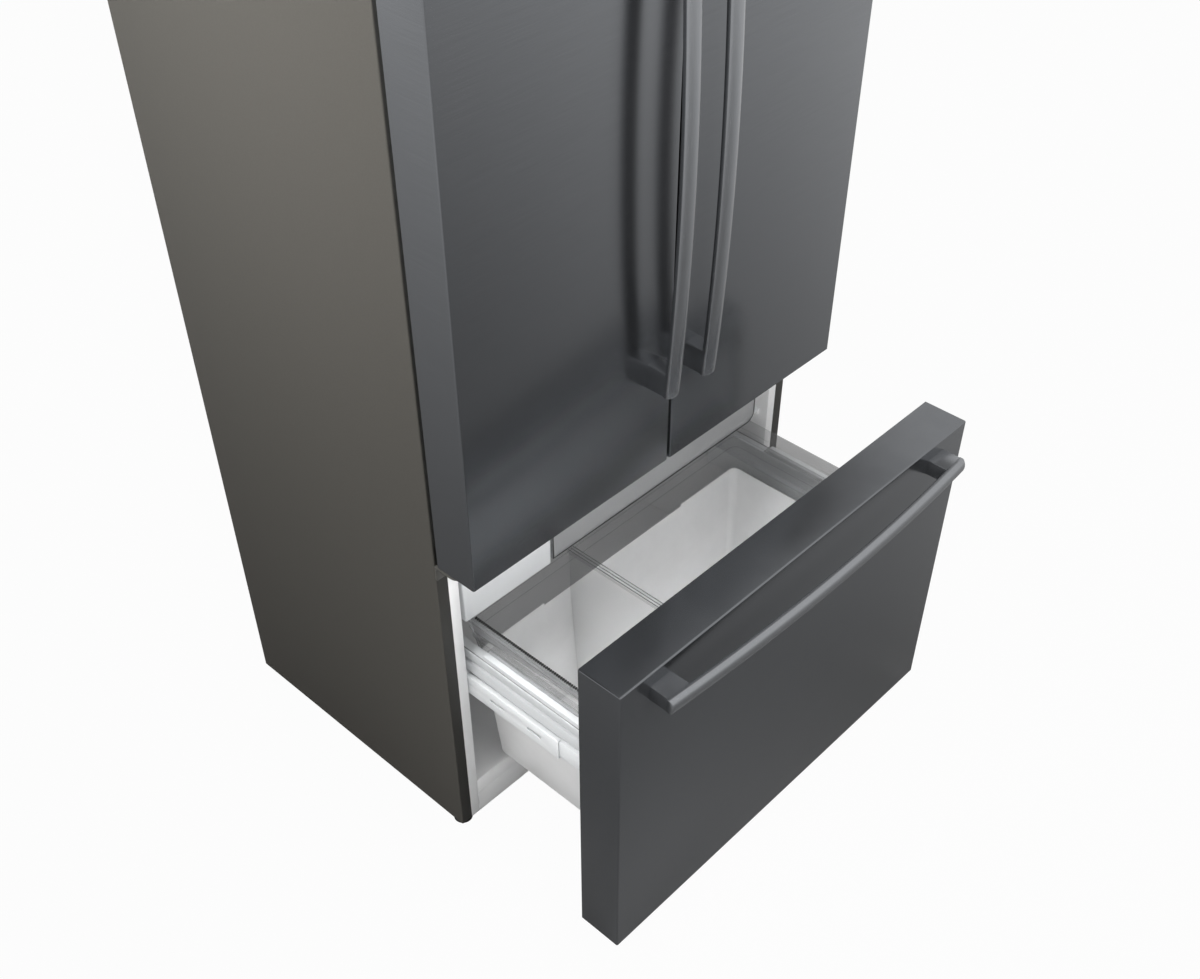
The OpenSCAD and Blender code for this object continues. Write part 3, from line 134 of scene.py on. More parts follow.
def joinPieces(first, others):
    makeActive(first)
    for other in others:
        other.select_set(True)
    bpy.ops.object.join()
    return first


def moveMesh(piece, shift):  # moves the mesh and leaves the object at the origin
    for vertex in piece.data.vertices:
        vertex.co = [value + step for value, step in zip(vertex.co, shift)]


def movedCopy(piece, name, shift):
    copy = bpy.data.objects.new(name, piece.data.copy())
    bpy.context.scene.collection.objects.link(copy)
    moveMesh(copy, shift)
    return copy


def finishPiece(piece, material, body, nodes=()):  # nodes: the CAD nodes that it stands for
    clearSelection()
    piece.data.materials.clear()
    piece.data.materials.append(material)
    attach(piece, body)
    if nodes:
        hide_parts(*nodes)


def linear(code):  # an sRGB hex value as linear colour
    parts = [int(code[i:i + 2], 16) / 255 for i in (1, 3, 5)]
    return [c / 12.92 if c <= 0.04045 else ((c + 0.055) / 1.055) ** 2.4 for c in parts] + [1]


def addNode(owner, kind, settings=None, links=None):
    node = owner.node_tree.nodes.new(kind)
    for key, value in (settings or {}).items():
        if key in node.inputs:
            node.inputs[key].default_value = value
        else:
            setattr(node, key, value)
    for key, source in (links or {}).items():
        owner.node_tree.links.new(source, node.inputs[key])
    return node


def newMaterial(name, settings):
    material = bpy.data.materials.new(name)
    material.use_nodes = True
    shader = material.node_tree.nodes["Principled BSDF"]
    for key, value in settings.items():
        shader.inputs[key].default_value = value
    return material, shader


def setSurface(material, output):
    surface = material.node_tree.nodes["Material Output"].inputs["Surface"]
    material.node_tree.links.new(output, surface)


# soft: how strongly its finer layers show; band: the part of it that the colours run over
grainNoise = {"soft": 0.6, "band": (0.35, 0.65)}


def patterned(name, settings, colours, grain, stretch=(1, 1, 1), *, rough, bump,
              depth=0.2 * mm, detail=3):
    # colours: dark and light end of the slow change over the surface; grain: pattern size in metres
    material, shader = newMaterial(name, settings)
    place = addNode(material, "ShaderNodeTexCoord")
    scaled = addNode(material, "ShaderNodeMapping", {"Scale": [s / grain for s in stretch]},
                     {"Vector": place.outputs["Object"]})
    noise = addNode(material, "ShaderNodeTexNoise",
                    {"Scale": 1, "Detail": detail, "Roughness": grainNoise["soft"]},
                    {"Vector": scaled.outputs["Vector"]})
    ramp = addNode(material, "ShaderNodeValToRGB", None, {"Fac": noise.outputs["Fac"]})
    for stop, position, colour in zip(ramp.color_ramp.elements, grainNoise["band"], colours):
        stop.position = position
        stop.color = linear(colour)
    material.node_tree.links.new(ramp.outputs["Color"], shader.inputs["Base Color"])
    spread = addNode(material, "ShaderNodeMapRange", {"To Min": rough[0], "To Max": rough[1]},
                     {"Value": noise.outputs["Fac"]})
    material.node_tree.links.new(spread.outputs["Result"], shader.inputs["Roughness"])
    relief = addNode(material, "ShaderNodeBump", {"Strength": bump, "Distance": depth},
                     {"Height": noise.outputs["Fac"]})
    material.node_tree.links.new(relief.outputs["Normal"], shader.inputs["Normal"])
    return material


clearFlow = {"ior": 1.59, "size": 45 * mm, "detail": 2, "uneven": 0.12}  # flow marks of clear walls


def clearWall(name, seen, tint, edge, rough, veil):
    # thin clear wall: veil is the share that it hides where it faces the eye, and edges hide more
    material, shader = newMaterial(
        name, {"Base Color": linear(seen), "Roughness": rough, "IOR": clearFlow["ior"]})
    through = addNode(material, "ShaderNodeBsdfTransparent", {"Color": linear(tint)})
    tilt = addNode(material, "ShaderNodeLayerWeight", {"Blend": edge})
    share = addNode(material, "ShaderNodeMapRange", {"To Min": veil, "To Max": 1},
                    {"Value": tilt.outputs["Fresnel"]})
    blend = addNode(material, "ShaderNodeMixShader", None, {"Fac": share.outputs["Result"]})
    material.node_tree.links.new(through.outputs[0], blend.inputs[1])
    material.node_tree.links.new(shader.outputs[0], blend.inputs[2])
    setSurface(material, blend.outputs[0])
    place = addNode(material, "ShaderNodeTexCoord")
    flow = addNode(material, "ShaderNodeTexNoise",
                   {"Scale": 1 / clearFlow["size"], "Detail": clearFlow["detail"]},
                   {"Vector": place.outputs["Object"]})
    gloss = addNode(material, "ShaderNodeMapRange",
                    {"To Min": rough, "To Max": rough + clearFlow["uneven"]},
                    {"Value": flow.outputs["Fac"]})
    material.node_tree.links.new(gloss.outputs["Result"], shader.inputs["Roughness"])
    return material


def makeMaterials():
    made = {}
    # stainless steel with a dark oxide film, brushed across: satin, with fine level lines in its gloss
    made["black_stainless"] = patterned(
        "brushedBlackStainless", {"Metallic": 0.96}, ("#6f7174", "#747679"), 0.9 * mm,
        (0.01, 0.01, 1), rough=(0.17, 0.22), bump=0.04, depth=0.05 * mm)
    # the same steel as a drawn and polished bar: brighter along its crown
    made["handleBar"] = patterned(
        "polishedBlackStainlessBar", {"Metallic": 0.95}, ("#8b8d90", "#909295"), 1.2 * mm,
        (1, 1, 0.05), rough=(0.22, 0.28), bump=0.02, depth=0.05 * mm)
    # hinge plate painted with the case: dark, half matt
    made["hingePaint"] = patterned(
        "paintedHingePlate", {"IOR": 1.5}, ("#4b4a46", "#4e4d49"), 2.2 * mm,
        rough=(0.38, 0.46), bump=0.08)
    # the case's enamel on the folded front flange, made darker as painted shade under the doors
    made["flangePaint"] = patterned(
        "flangeEnamelPaintedShade", {"IOR": 1.5}, ("#2b2a27", "#2f2e2b"), 2.2 * mm,
        rough=(0.42, 0.5), bump=0.08)
    # steel sheet with a baked textured enamel: dull with a fine orange peel
    made["case_paint"] = patterned(
        "texturedGreyEnamel", {"IOR": 1.5, "Specular IOR Level": 0.2}, ("#494743", "#4c4a46"),
        2.2 * mm, rough=(0.6, 0.68), bump=0.12)
    # hot dipped steel: pale grey with crystal patches
    made["galvanised_steel"] = patterned(
        "galvanisedSheet", {"Metallic": 1}, ("#a3a6a8", "#b9bcbd"), 9 * mm,
        rough=(0.3, 0.5), bump=0.05, detail=1)
    # zinc plated pressed steel: bright, slightly uneven
    made["hinge_steel"] = patterned(
        "zincPlatedSteel", {"Metallic": 0.8}, ("#d4d6d7", "#dcdddd"), 6 * mm,
        rough=(0.34, 0.42), bump=0.02)
    # steel slide members with a white powder coat: even, satin
    made["whiteCoat"] = patterned(
        "whitePowderCoat", {"IOR": 1.5}, ("#dfe1e2", "#e3e5e6"), 3 * mm,
        rough=(0.4, 0.46), bump=0.03)
    # rigid polyurethane foam: pale yellow, closed cells, matt
    made["foam"] = patterned(
        "polyurethaneFoam", {"IOR": 1.45}, ("#d3c79a", "#e2d8b0"), 3 * mm,
        rough=(0.8, 0.95), bump=0.6, depth=0.6 * mm)
    # vacuum formed high impact polystyrene: white, soft gloss, slightly wavy
    made["foamed_panel"] = patterned(
        "vacuumFormedPolystyrene", {"IOR": 1.59}, ("#e8eaeb", "#ebedee"), 30 * mm,
        rough=(0.28, 0.34), bump=0.02, depth=0.4 * mm)
    # the same sheet drawn into the liners: a little glossier, in longer waves
    made["liner_white"] = patterned(
        "linerPolystyrene", {"IOR": 1.59}, ("#ebebeb", "#eeeeee"), 40 * mm,
        rough=(0.26, 0.32), bump=0.02, depth=0.4 * mm)
    # injection moulded white plastic: satin with a fine spark eroded grain
    made["fitting_white"] = patterned(
        "mouldedWhitePlastic", {"IOR": 1.5}, ("#e9ebec", "#eceeef"), 1.2 * mm,
        rough=(0.36, 0.42), bump=0.04, depth=0.06 * mm)
    # a greyer white of it: satin, a little darker than the bin
    made["frameWhite"] = patterned(
        "mouldedGreyWhitePlastic", {"IOR": 1.5}, ("#d0d2d4", "#d4d6d7"), 1.2 * mm,
        rough=(0.36, 0.42), bump=0.04, depth=0.06 * mm)
    # clear polystyrene moulding, grey where it is seen through twice
    made["clear_plastic"] = clearWall("clearPolystyrene", "#bbbcbd", "#f6f6f6", 0.05, 0.24, 0.11)
    # a flat clear panel of it, hardly seen but for its edges
    made["clearPanel"] = clearWall("clearPolystyrenePanel", "#b9babb", "#fafafa", 0.05, 0.2, 0.02)
    # painted shade: dark grey for clear edges seen on end, which look dark there
    made["edgeGrey"] = patterned(
        "polystyreneEdgePaintedShade", {"IOR": 1.59}, ("#48494a", "#505152"), 4 * mm,
        rough=(0.3, 0.4), bump=0.03)
    # the same plastic moulded grey and translucent, as the upper tray
    made["greyTray"] = clearWall(
        "greyTranslucentPolystyrene", "#c2c3c4", "#dcdcdc", 0.05, 0.26, 0.5)
    # toughened float glass with a faint green tint
    made["shelf_glass"] = clearWall("toughenedGlass", "#cdd8d3", "#f3f8f6", 0.07, 0.04, 0.02)
    # extruded soft vinyl seal: mid grey, dull
    made["seal_rubber"] = patterned(
        "extrudedVinylSeal", {"IOR": 1.52}, ("#6e6f70", "#787979"), 4 * mm,
        rough=(0.5, 0.62), bump=0.1)
    # moulded black plastic with a fine grain
    made["black_plastic"] = patterned(
        "mouldedBlackPlastic", {"IOR": 1.5}, ("#1b1b1c", "#222223"), 1.1 * mm,
        rough=(0.42, 0.56), bump=0.12, depth=0.1 * mm)
    # moulded rubber: black, matt
    made["black_rubber"] = patterned(
        "mouldedRubber", {"IOR": 1.52}, ("#1a1a1a", "#232323"), 2 * mm,
        rough=(0.65, 0.8), bump=0.15)
    # black stoved enamel on steel: smooth, half gloss
    made["black_enamel"] = patterned(
        "stovedBlackEnamel", {"IOR": 1.5, "Coat Weight": 0.2, "Coat Roughness": 0.2},
        ("#191a1b", "#202122"), 5 * mm, rough=(0.3, 0.4), bump=0.08)
    # rolled aluminium foil and tube: bright, with rolling lines
    made["fin_aluminium"] = patterned(
        "rolledAluminium", {"Metallic": 1}, ("#b6b8ba", "#c6c8ca"), 3 * mm,
        (1, 0.1, 1), rough=(0.3, 0.45), bump=0.05)
    # drawn copper tube, a little tarnished
    made["copper_tube"] = patterned(
        "drawnCopper", {"Metallic": 1}, ("#a8663f", "#c4805a"), 12 * mm,
        rough=(0.25, 0.45), bump=0.04)
    # frosted diffuser: milky, soft
    made["lamp_white"] = patterned(
        "frostedDiffuser", {"IOR": 1.5, "Transmission Weight": 0.3}, ("#eceae2", "#f2f0e9"),
        8 * mm, rough=(0.5, 0.6), bump=0.05)
    return made


materials = makeMaterials()
print("materials made:", len(materials))

slotOf = {row["node"]: row["material_slot"] for row in frame["record"]["subparts"]}
for node, shape in frame["nodes"].items():
    shape.data.materials.clear()
    shape.data.materials.append(materials[slotOf[node]])


caseShell = {"flange": 24 * mm, "backFlange": 15 * mm, "sheet": 1 * mm, "fold": 2.5 * mm,
             "steps": 4}


def makeCase():
    low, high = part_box("outer_case")
    flange = caseShell["flange"]
    case = addBlock("caseShell", (low.x, low.y, low.z - flange), high)
    for facing, width in ((-1, flange), (1, caseShell["backFlange"])):
        pickFaces(case, lambda c, n: n.y * facing > along)
        bpy.ops.mesh.inset(thickness=width)
        bpy.ops.mesh.delete(type="FACE")
    bpy.ops.mesh.select_all(action="SELECT")
    bpy.ops.mesh.bisect(plane_co=(0, 0, low.z), plane_no=(0, 0, 1), clear_inner=True)
    pickEdges(case, lambda c, d: abs(d.y) > along and c.z > high.z - mm
              or min(c.y - low.y, high.y - c.y) < touch
              and (abs(c.x) > high.x - mm or c.z > high.z - mm))
    bevelPicked(caseShell["fold"], caseShell["steps"])
    useModifier(case, "SOLIDIFY", thickness=caseShell["sheet"], offset=-1)
    shade(case)
    finishPiece(case, materials["case_paint"], "cabinet", ["outer_case"])
    # the flange's front faces get the darker enamel: painted shade under the doors
    case.data.materials.append(materials["flangePaint"])
    for face in case.data.polygons:
        if face.normal.y < -along and face.center.y < low.y + mm:
            face.material_index = 1


skinSheet = {"wall": 1.2 * mm, "fold": 3 * mm, "steps": 5}


def makeSkin(name, node, body, boxed):  # boxed: folded over the top and the bottom as well
    low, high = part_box(node)
    skin = addBlock(name, low, high)
    pickFaces(skin, lambda c, n: n.y > along or abs(n.z) > along and not boxed)
    bpy.ops.mesh.delete(type="FACE")
    pickEdges(skin, lambda c, d: c.y < low.y + touch and (boxed or abs(d.z) > along)
              or boxed and abs(d.y) > along)
    bevelPicked(skinSheet["fold"], skinSheet["steps"])
    useModifier(skin, "SOLIDIFY", thickness=skinSheet["wall"], offset=-1)
    shade(skin)
    finishPiece(skin, materials["black_stainless"], body, [node])


handleBar = {"width": 31 * mm, "thick": 9 * mm, "crown": 5.9 * mm, "out": 41 * mm,
             "bow": 16 * mm, "edge": 2.8 * mm, "cuts": 47, "crownCuts": 9,
             "roundSteps": 4, "roundAngle": 40, "smoothAngle": 35}
handlePost = {"length": 48 * mm, "in": 2 * mm, "shy": 0.2 * mm, "edge": 1.6 * mm, "steps": 3,
              "shadowLine": 0.8 * mm}


def makeHandle(name, node, body, upright, face):
    low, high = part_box(node)
    bar, foot, middle = handleBar, handlePost, (low + high) / 2
    half = (high.z - low.z if upright else high.x - low.x) / 2
    wide = bar["width"] / 2
    radius = (half ** 2 + bar["bow"] ** 2) / (2 * bar["bow"])
    crownRadius = (wide ** 2 + bar["crown"] ** 2) / (2 * bar["crown"])
    beam = addBlock(name, (-half, -bar["out"], -wide), (half, bar["thick"] - bar["out"], wide))
    pickEdges(beam, lambda c, d: abs(d.x) > along)
    bpy.ops.mesh.subdivide(number_cuts=bar["cuts"])
    pickEdges(beam, lambda c, d: abs(d.z) > along)
    bpy.ops.mesh.subdivide(number_cuts=bar["crownCuts"])
    bpy.ops.object.mode_set(mode="OBJECT")
    for vertex in beam.data.vertices:
        x, y, z = vertex.co
        front = y < bar["thick"] / 2 - bar["out"]
        vertex.co.y -= math.sqrt(radius ** 2 - x ** 2) - (radius - bar["bow"])
        if front:
            vertex.co.y -= math.sqrt(crownRadius ** 2 - z ** 2) - (crownRadius - bar["crown"])
    roundEdges(beam, bar["edge"], bar["roundSteps"], bar["roundAngle"])
    posts = []
    for side in (-1, 1):
        ends = sorted((side * (half - foot["length"]), side * (half - foot["in"])))
        post = addBlock(name + "Post", (ends[0], bar["thick"] / 2 - bar["out"], -wide + foot["shy"]),
                        (ends[1], 0, wide - foot["shy"]))
        pickEdges(post, lambda c, d: abs(d.y) > along)
        bevelPicked(foot["edge"], foot["steps"])
        pickFaces(post, lambda c, n: n.y > along)  # a shadow line where the post meets the sheet
        bpy.ops.mesh.inset(thickness=foot["shadowLine"])
        bpy.ops.object.mode_set(mode="OBJECT")
        posts.append(post)
    joinPieces(beam, posts)
    for vertex in beam.data.vertices:
        x, y, z = vertex.co
        vertex.co = ((middle.x - z, face + y, middle.z + x) if upright
                     else (x, face + y, middle.z + z))
    shade(beam, bar["smoothAngle"])
    finishPiece(beam, materials["handleBar"], body, [node])


seal = {"width": 16 * mm, "edge": 1.1 * mm, "steps": 3, "straight": 0.99,
        "grooveDeep": 1.6 * mm}


def makeSeal(name, node, body):
    low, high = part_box(node)
    middle, half = (low.y + high.y) / 2, (high.y - low.y) / 2

    def depthIn(c):  # from the nearest of the seal's four outer sides
        return min(c.x - low.x, high.x - c.x, c.z - low.z, high.z - c.z)

    ring = addBlock(name, low, high)
    pickFaces(ring, lambda c, n: abs(n.y) > along)
    bpy.ops.mesh.inset(thickness=seal["width"])
    bpy.ops.mesh.delete(type="FACE")
    pickEdges(ring, lambda c, d: depthIn(c) > seal["width"] - mm and abs(d.y) < across
              and abs(abs(c.y - middle) - half) < touch)
    bpy.ops.mesh.bridge_edge_loops()
    pickEdges(ring, lambda c, d: abs(d.y) < across and max(abs(d.x), abs(d.z)) > seal["straight"])
    bevelPicked(seal["edge"], seal["steps"])
    pickFaces(ring, lambda c, n: abs(n.y) < across and depthIn(c) < touch)
    bpy.ops.mesh.inset(thickness=half / 2)
    bpy.ops.mesh.extrude_region_shrink_fatten(
        TRANSFORM_OT_shrink_fatten={"value": -seal["grooveDeep"]})
    shade(ring)
    finishPiece(ring, materials["seal_rubber"], body, [node])


softMerge = {"points": 0.01 * mm, "flatAngle": 0.8, "slivers": 0.002 * mm}


def softCopy(node, name, body, width):
    clearSelection()
    source = frame["nodes"][node]
    piece = bpy.data.objects.new(name, source.data.copy())
    bpy.context.scene.collection.objects.link(piece)
    makeActive(piece)
    bpy.ops.mesh.customdata_custom_splitnormals_clear()
    bpy.ops.object.mode_set(mode="EDIT")
    bpy.ops.mesh.select_all(action="SELECT")
    bpy.ops.mesh.remove_doubles(threshold=softMerge["points"])
    bpy.ops.mesh.dissolve_limited(angle_limit=math.radians(softMerge["flatAngle"]))
    bpy.ops.object.mode_set(mode="OBJECT")
    roundEdges(piece, width)
    bpy.ops.object.mode_set(mode="EDIT")
    bpy.ops.mesh.select_all(action="SELECT")
    bpy.ops.mesh.remove_doubles(threshold=softMerge["slivers"])
    bpy.ops.mesh.dissolve_degenerate(threshold=softMerge["slivers"])
    bpy.ops.mesh.select_all(action="DESELECT")
    bpy.ops.object.mode_set(mode="OBJECT")
    shade(piece)
    finishPiece(piece, materials[ownFinish.get(node, slotOf[node])], body, [node])


ownFinish = {  # nodes that look unlike the rest of their slot
    "middle_hinges": "hingePaint", "freezer_tray": "greyTray", "bin_divider": "clearPanel",
    "drawer_frames": "frameWhite", "ice_bin": "frameWhite",
    "drawer_slides": "whiteCoat", "middle_slides": "whiteCoat", "cabinet_rails": "whiteCoat",
}


softened = {  # node: name of its piece, width of its rounded edges in mm
    "fresh_liner": ("freshLiner", 1.2), "freezer_liner": ("freezerLiner", 1.2),
    "front_sill": ("frontSill", 1), "hinge_covers": ("hingeCovers", 1.5),
    "top_hinges": ("topHinges", 0.6), "middle_hinges": ("middleHinges", 0.6),
    "air_duct": ("airDuct", 1), "shelf_frames": ("shelfFrames", 1.5),
    "tray_shelf": ("trayShelf", 0.8), "ice_bin": ("iceBin", 0.8),
    "freezer_tray": ("freezerTray", 0.8), "cabinet_rails": ("cabinetRails", 0.5),
    "left_door_caps": ("leftDoorCaps", 1.2), "right_door_caps": ("rightDoorCaps", 1.2),
    "left_door_liner": ("leftDoorLiner", 2.5), "right_door_liner": ("rightDoorLiner", 2.5),
    "left_door_bins": ("leftDoorBins", 0.8), "right_door_bins": ("rightDoorBins", 0.8),
    "mullion_flap": ("mullionFlap", 1.2), "drawer_frames": ("drawerFrames", 0.9),
    "drawer_slides": ("drawerSlides", 0.5), "middle_slides": ("middleSlides", 0.5),
    "freezer_bin": ("freezerBin", 0.9), "bin_collar": ("binCollar", 0.6),
    "bin_divider": ("binDivider", 0.5),
    "left_crisper": ("leftCrisper", 0.8), "right_crisper": ("rightCrisper", 0.8),
    "drawer_liner": ("drawerLiner", 2.5), "base_frame": ("baseFrame", 0.4),
    "rear_panel": ("rearPanel", 0.8), "machine_cover": ("machineCover", 0.35),
    "fan_shroud": ("fanShroud", 0.6), "drain_pan": ("drainPan", 0.6),
    "ceiling_light": ("ceilingLight", 1.5), "glass_shelves": ("glassShelves", 0.6),
    "evaporator_cover": ("evaporatorCover", 0.4),
}

bodyOf = {node: body for body, nodes in frame["record"]["behaviour"]["bodies"].items()
          for node in nodes}
makeCase()
makeSkin("leftDoorSkin", "left_door_skin", "left_door", False)
makeSkin("rightDoorSkin", "right_door_skin", "right_door", False)
makeSkin("drawerSkin", "drawer_skin", "freezer_drawer", True)
print("case and skins made")
for side in ("left", "right"):
    makeHandle(side + "DoorHandle", side + "_handle", side + "_door", True,
               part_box(side + "_door_skin")[0].y)
    makeSeal(side + "DoorSeal", side + "_door_gasket", side + "_door")
makeHandle("drawerHandle", "drawer_handle", "freezer_drawer", False,
           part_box("drawer_skin")[0].y)
makeSeal("drawerSeal", "drawer_gasket", "freezer_drawer")
print("handles and seals made")
for node, (name, width) in softened.items():
    softCopy(node, name, bodyOf[node], width * mm)
print("softened mouldings made:", len(softened))

# thin dark edge round the front of the upper tray
trayEdge = {"line": 2.4 * mm, "proud": 0.6 * mm, "deep": 0.4 * mm, "corner": 20 * mm,
            "cornerSteps": 8, "lift": 5 * mm}


def makeTrayEdge():
    low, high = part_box("freezer_tray")
    line, bottom = trayEdge["line"], low.z + trayEdge["lift"]
    edge = addBlock("trayFrontEdge", (low.x, low.y - trayEdge["proud"], bottom),
                    (high.x, low.y + trayEdge["deep"], high.z))
    pickEdges(edge, lambda c, d: abs(d.y) > along and c.x > 0 and c.z < bottom + mm)
    bevelPicked(trayEdge["corner"], trayEdge["cornerSteps"])
    pickFaces(edge, lambda c, n: abs(n.y) > along)
    bpy.ops.mesh.inset(thickness=line)
    bpy.ops.mesh.delete(type="FACE")
    pickEdges(edge, lambda c, d: abs(d.y) < across
              and min(c.x - low.x, high.x - c.x, c.z - bottom, high.z - c.z) > line / 2)
    bpy.ops.mesh.bridge_edge_loops()
    shade(edge)
    finishPiece(edge, materials["black_rubber"], "cabinet")


stripEdge = {"ease": 0.15 * mm, "steps": 2}


def addStrips(name, spans):  # thin bars between pairs of corners, with eased edges
    strips = []
    for low, high in spans:
        strip = addBlock(name, low, high)
        pickEdges(strip, lambda c, d: abs(d.y) > along)
        bevelPicked(stripEdge["ease"], stripEdge["steps"])
        bpy.ops.object.mode_set(mode="OBJECT")
        strips.append(strip)
    return joinPieces(strips[0], strips[1:])


# fine dark grey strips along the top of the divider's rail: painted shade for its clear moulded edges,
# which look dark seen on end
dividerShadeLines = {"width": 1.4 * mm, "height": 0.5 * mm, "end": 3 * mm, "inset": 0.6 * mm}


def makeDividerShadeLines():
    low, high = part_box("bin_divider")
    line, middle = dividerShadeLines, (low.x + high.x) / 2
    width, rise = line["width"], line["height"] / 2
    places = (low.x + line["inset"], middle - width / 2, high.x - line["inset"] - width)
    spans = [((x, low.y + line["end"], high.z - rise),
              (x + width, high.y - line["end"], high.z + rise)) for x in places]
    finishPiece(addStrips("dividerShadeLines", spans), materials["edgeGrey"], "freezer_drawer")


# grey strips of painted shade along the drawer's side frames, one in the groove and one under the cap,
# each from how far in to how far in and from what height to what height of the frame
frameShadeStrips = {"groove": (4 * mm, 5.4 * mm, 31.6 * mm, 33.8 * mm),
              "cap": (1.6 * mm, 3 * mm, 51.4 * mm, 52.8 * mm), "end": 2 * mm}


def makeFrameShadeStrips():
    low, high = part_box("drawer_frames")
    spans = []
    for near, far, bottom, top in (frameShadeStrips["groove"], frameShadeStrips["cap"]):
        for left, right in ((low.x + near, low.x + far), (high.x - far, high.x - near)):
            spans.append(((left, low.y + frameShadeStrips["end"], low.z + bottom),
                          (right, high.y - frameShadeStrips["end"], low.z + top)))
    # the seal's grey vinyl serves only as the colour of these painted shade strips
    finishPiece(addStrips("frameShadeStrips", spans), materials["seal_rubber"], "freezer_drawer")


# dark toothed strip along the left rim of the clear collar
rimStrip = {"teeth": 66, "pitch": 4.8 * mm, "length": 3.2 * mm, "width": 5 * mm,
            "height": 2 * mm, "inset": 10 * mm, "start": 6 * mm, "ease": 0.5 * mm, "steps": 2}


def makeRimStrip():
    low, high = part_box("bin_collar")
    x, start, rise = low.x + rimStrip["inset"], low.y + rimStrip["start"], rimStrip["height"] / 2
    tooth = addBlock("rimStrip", (x, start, high.z - rise),
                     (x + rimStrip["width"], start + rimStrip["length"], high.z + rise))
    pickEdges(tooth, lambda c, d: abs(d.z) > along)
    bevelPicked(rimStrip["ease"], rimStrip["steps"])
    bpy.ops.object.mode_set(mode="OBJECT")
    joinPieces(tooth, [movedCopy(tooth, "rimTooth", (0, count * rimStrip["pitch"], 0))
                       for count in range(1, rimStrip["teeth"])])
    finishPiece(tooth, materials["black_rubber"], "freezer_drawer")


# hexagon head sheet screws of the rear panel and of the machine cover
screw = {"head": 3.6 * mm, "headThick": 1.3 * mm, "headSides": 6, "headRim": 0.5 * mm,
         "crown": 0.1 * mm, "flange": 4.6 * mm, "flangeThick": 0.6 * mm, "flangeSides": 14,
         "flangeRim": 0.4 * mm, "smoothAngle": 30}
screwPlaces = {"in": 8 * mm, "rows": 8, "columns": 4, "coverRowShares": (0.06, 0.5, 0.94)}


def makeScrew(name, back):  # one screw on the sheet whose outer side is at this Y
    headPlace = (0, back + screw["flangeThick"] + screw["headThick"] / 2, 0)
    head = addRod(name, headPlace, screw["head"], screw["headThick"], screw["headSides"])
    pickFaces(head, lambda c, n: n.y > along)
    bpy.ops.mesh.inset(thickness=screw["headRim"])
    bpy.ops.transform.translate(value=(0, screw["crown"], 0))
    bpy.ops.object.mode_set(mode="OBJECT")
    flange = addRod(name + "Flange", (0, back + screw["flangeThick"] / 2, 0), screw["flange"],
                    screw["flangeThick"], screw["flangeSides"])
    pickFaces(flange, lambda c, n: n.y > along)
    bpy.ops.mesh.inset(thickness=screw["flangeRim"])
    bpy.ops.object.mode_set(mode="OBJECT")
    return joinPieces(head, [flange])


def makeScrews():
    places = []
    inset, rows, columns = screwPlaces["in"], screwPlaces["rows"], screwPlaces["columns"]
    low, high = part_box("rear_panel")
    for row in range(rows):
        z = low.z + inset + (high.z - low.z - 2 * inset) * row / (rows - 1)
        places += [(low.x + inset, z), (high.x - inset, z)]
    places += [(low.x + (high.x - low.x) * (column + 1) / (columns + 1), high.z - inset)
               for column in range(columns)]
    low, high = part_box("machine_cover")
    for share in screwPlaces["coverRowShares"]:
        z = low.z + (high.z - low.z) * share
        places += [(low.x + inset, z), (high.x - inset, z)]
    for column in range(columns):
        x = low.x + (high.x - low.x) * (column + 1) / (columns + 1)
        places += [(x, low.z + inset), (x, high.z - inset)]
    first = makeScrew("rearScrews", high.y)
    copies = [movedCopy(first, "rearScrew", (x, 0, z)) for x, z in places[1:]]
    moveMesh(first, (places[0][0], 0, places[0][1]))
    joinPieces(first, copies)
    shade(first, screw["smoothAngle"])
    finishPiece(first, materials["hinge_steel"], "cabinet")


makeTrayEdge()
makeDividerShadeLines()
makeFrameShadeStrips()
makeRimStrip()
makeScrews()
print("tray edge, lines, seams, rim strip and screws made")

# glow: floor as the camera sees it; nearGlow to farGlow: floor in shiny surfaces, from near to far in
# metres, which spread stretches; veil: share that a clear wall takes from the white behind it
stageLook = {"floorSize": 40, "floor": "#747474", "floorRough": 0.6, "glow": 0.97, "skyLight": 0.42,
             "nearGlow": 0.0, "farGlow": 1, "near": 0.9, "far": 5.2, "spread": (1.5, 0.8, 1),
             "veil": 0.72, "darkWall": 0.06}
# part of a mirrored ray's direction: where the studio is still dark, where it is white
studioWall = {"X": (0.66, 0.78), "Y": (0.35, 0.2), "Z": (0.35, 0.2)}


def mathNode(owner, operation, first, second):
    node = addNode(owner, "ShaderNodeMath", {"operation": operation})
    for socket, value in zip(node.inputs, (first, second)):
        if isinstance(value, (int, float)):
            socket.default_value = value
        else:
            owner.node_tree.links.new(value, socket)
    return node.outputs[0]


def unveiled(ray, owner):  # 1 for camera rays, less for those that have passed a clear wall
    passed = mathNode(owner, "MINIMUM", ray.outputs["Transparent Depth"], 1)
    dimmed = mathNode(owner, "SUBTRACT", 1, mathNode(owner, "MULTIPLY", passed, stageLook["veil"]))
    return mathNode(owner, "MULTIPLY", ray.outputs["Is Camera Ray"], dimmed)


def sentOn(ray, owner):  # 1 for rays that metal and glass send on
    return mathNode(owner, "MAXIMUM", ray.outputs["Is Glossy Ray"], ray.outputs["Is Transmission Ray"])


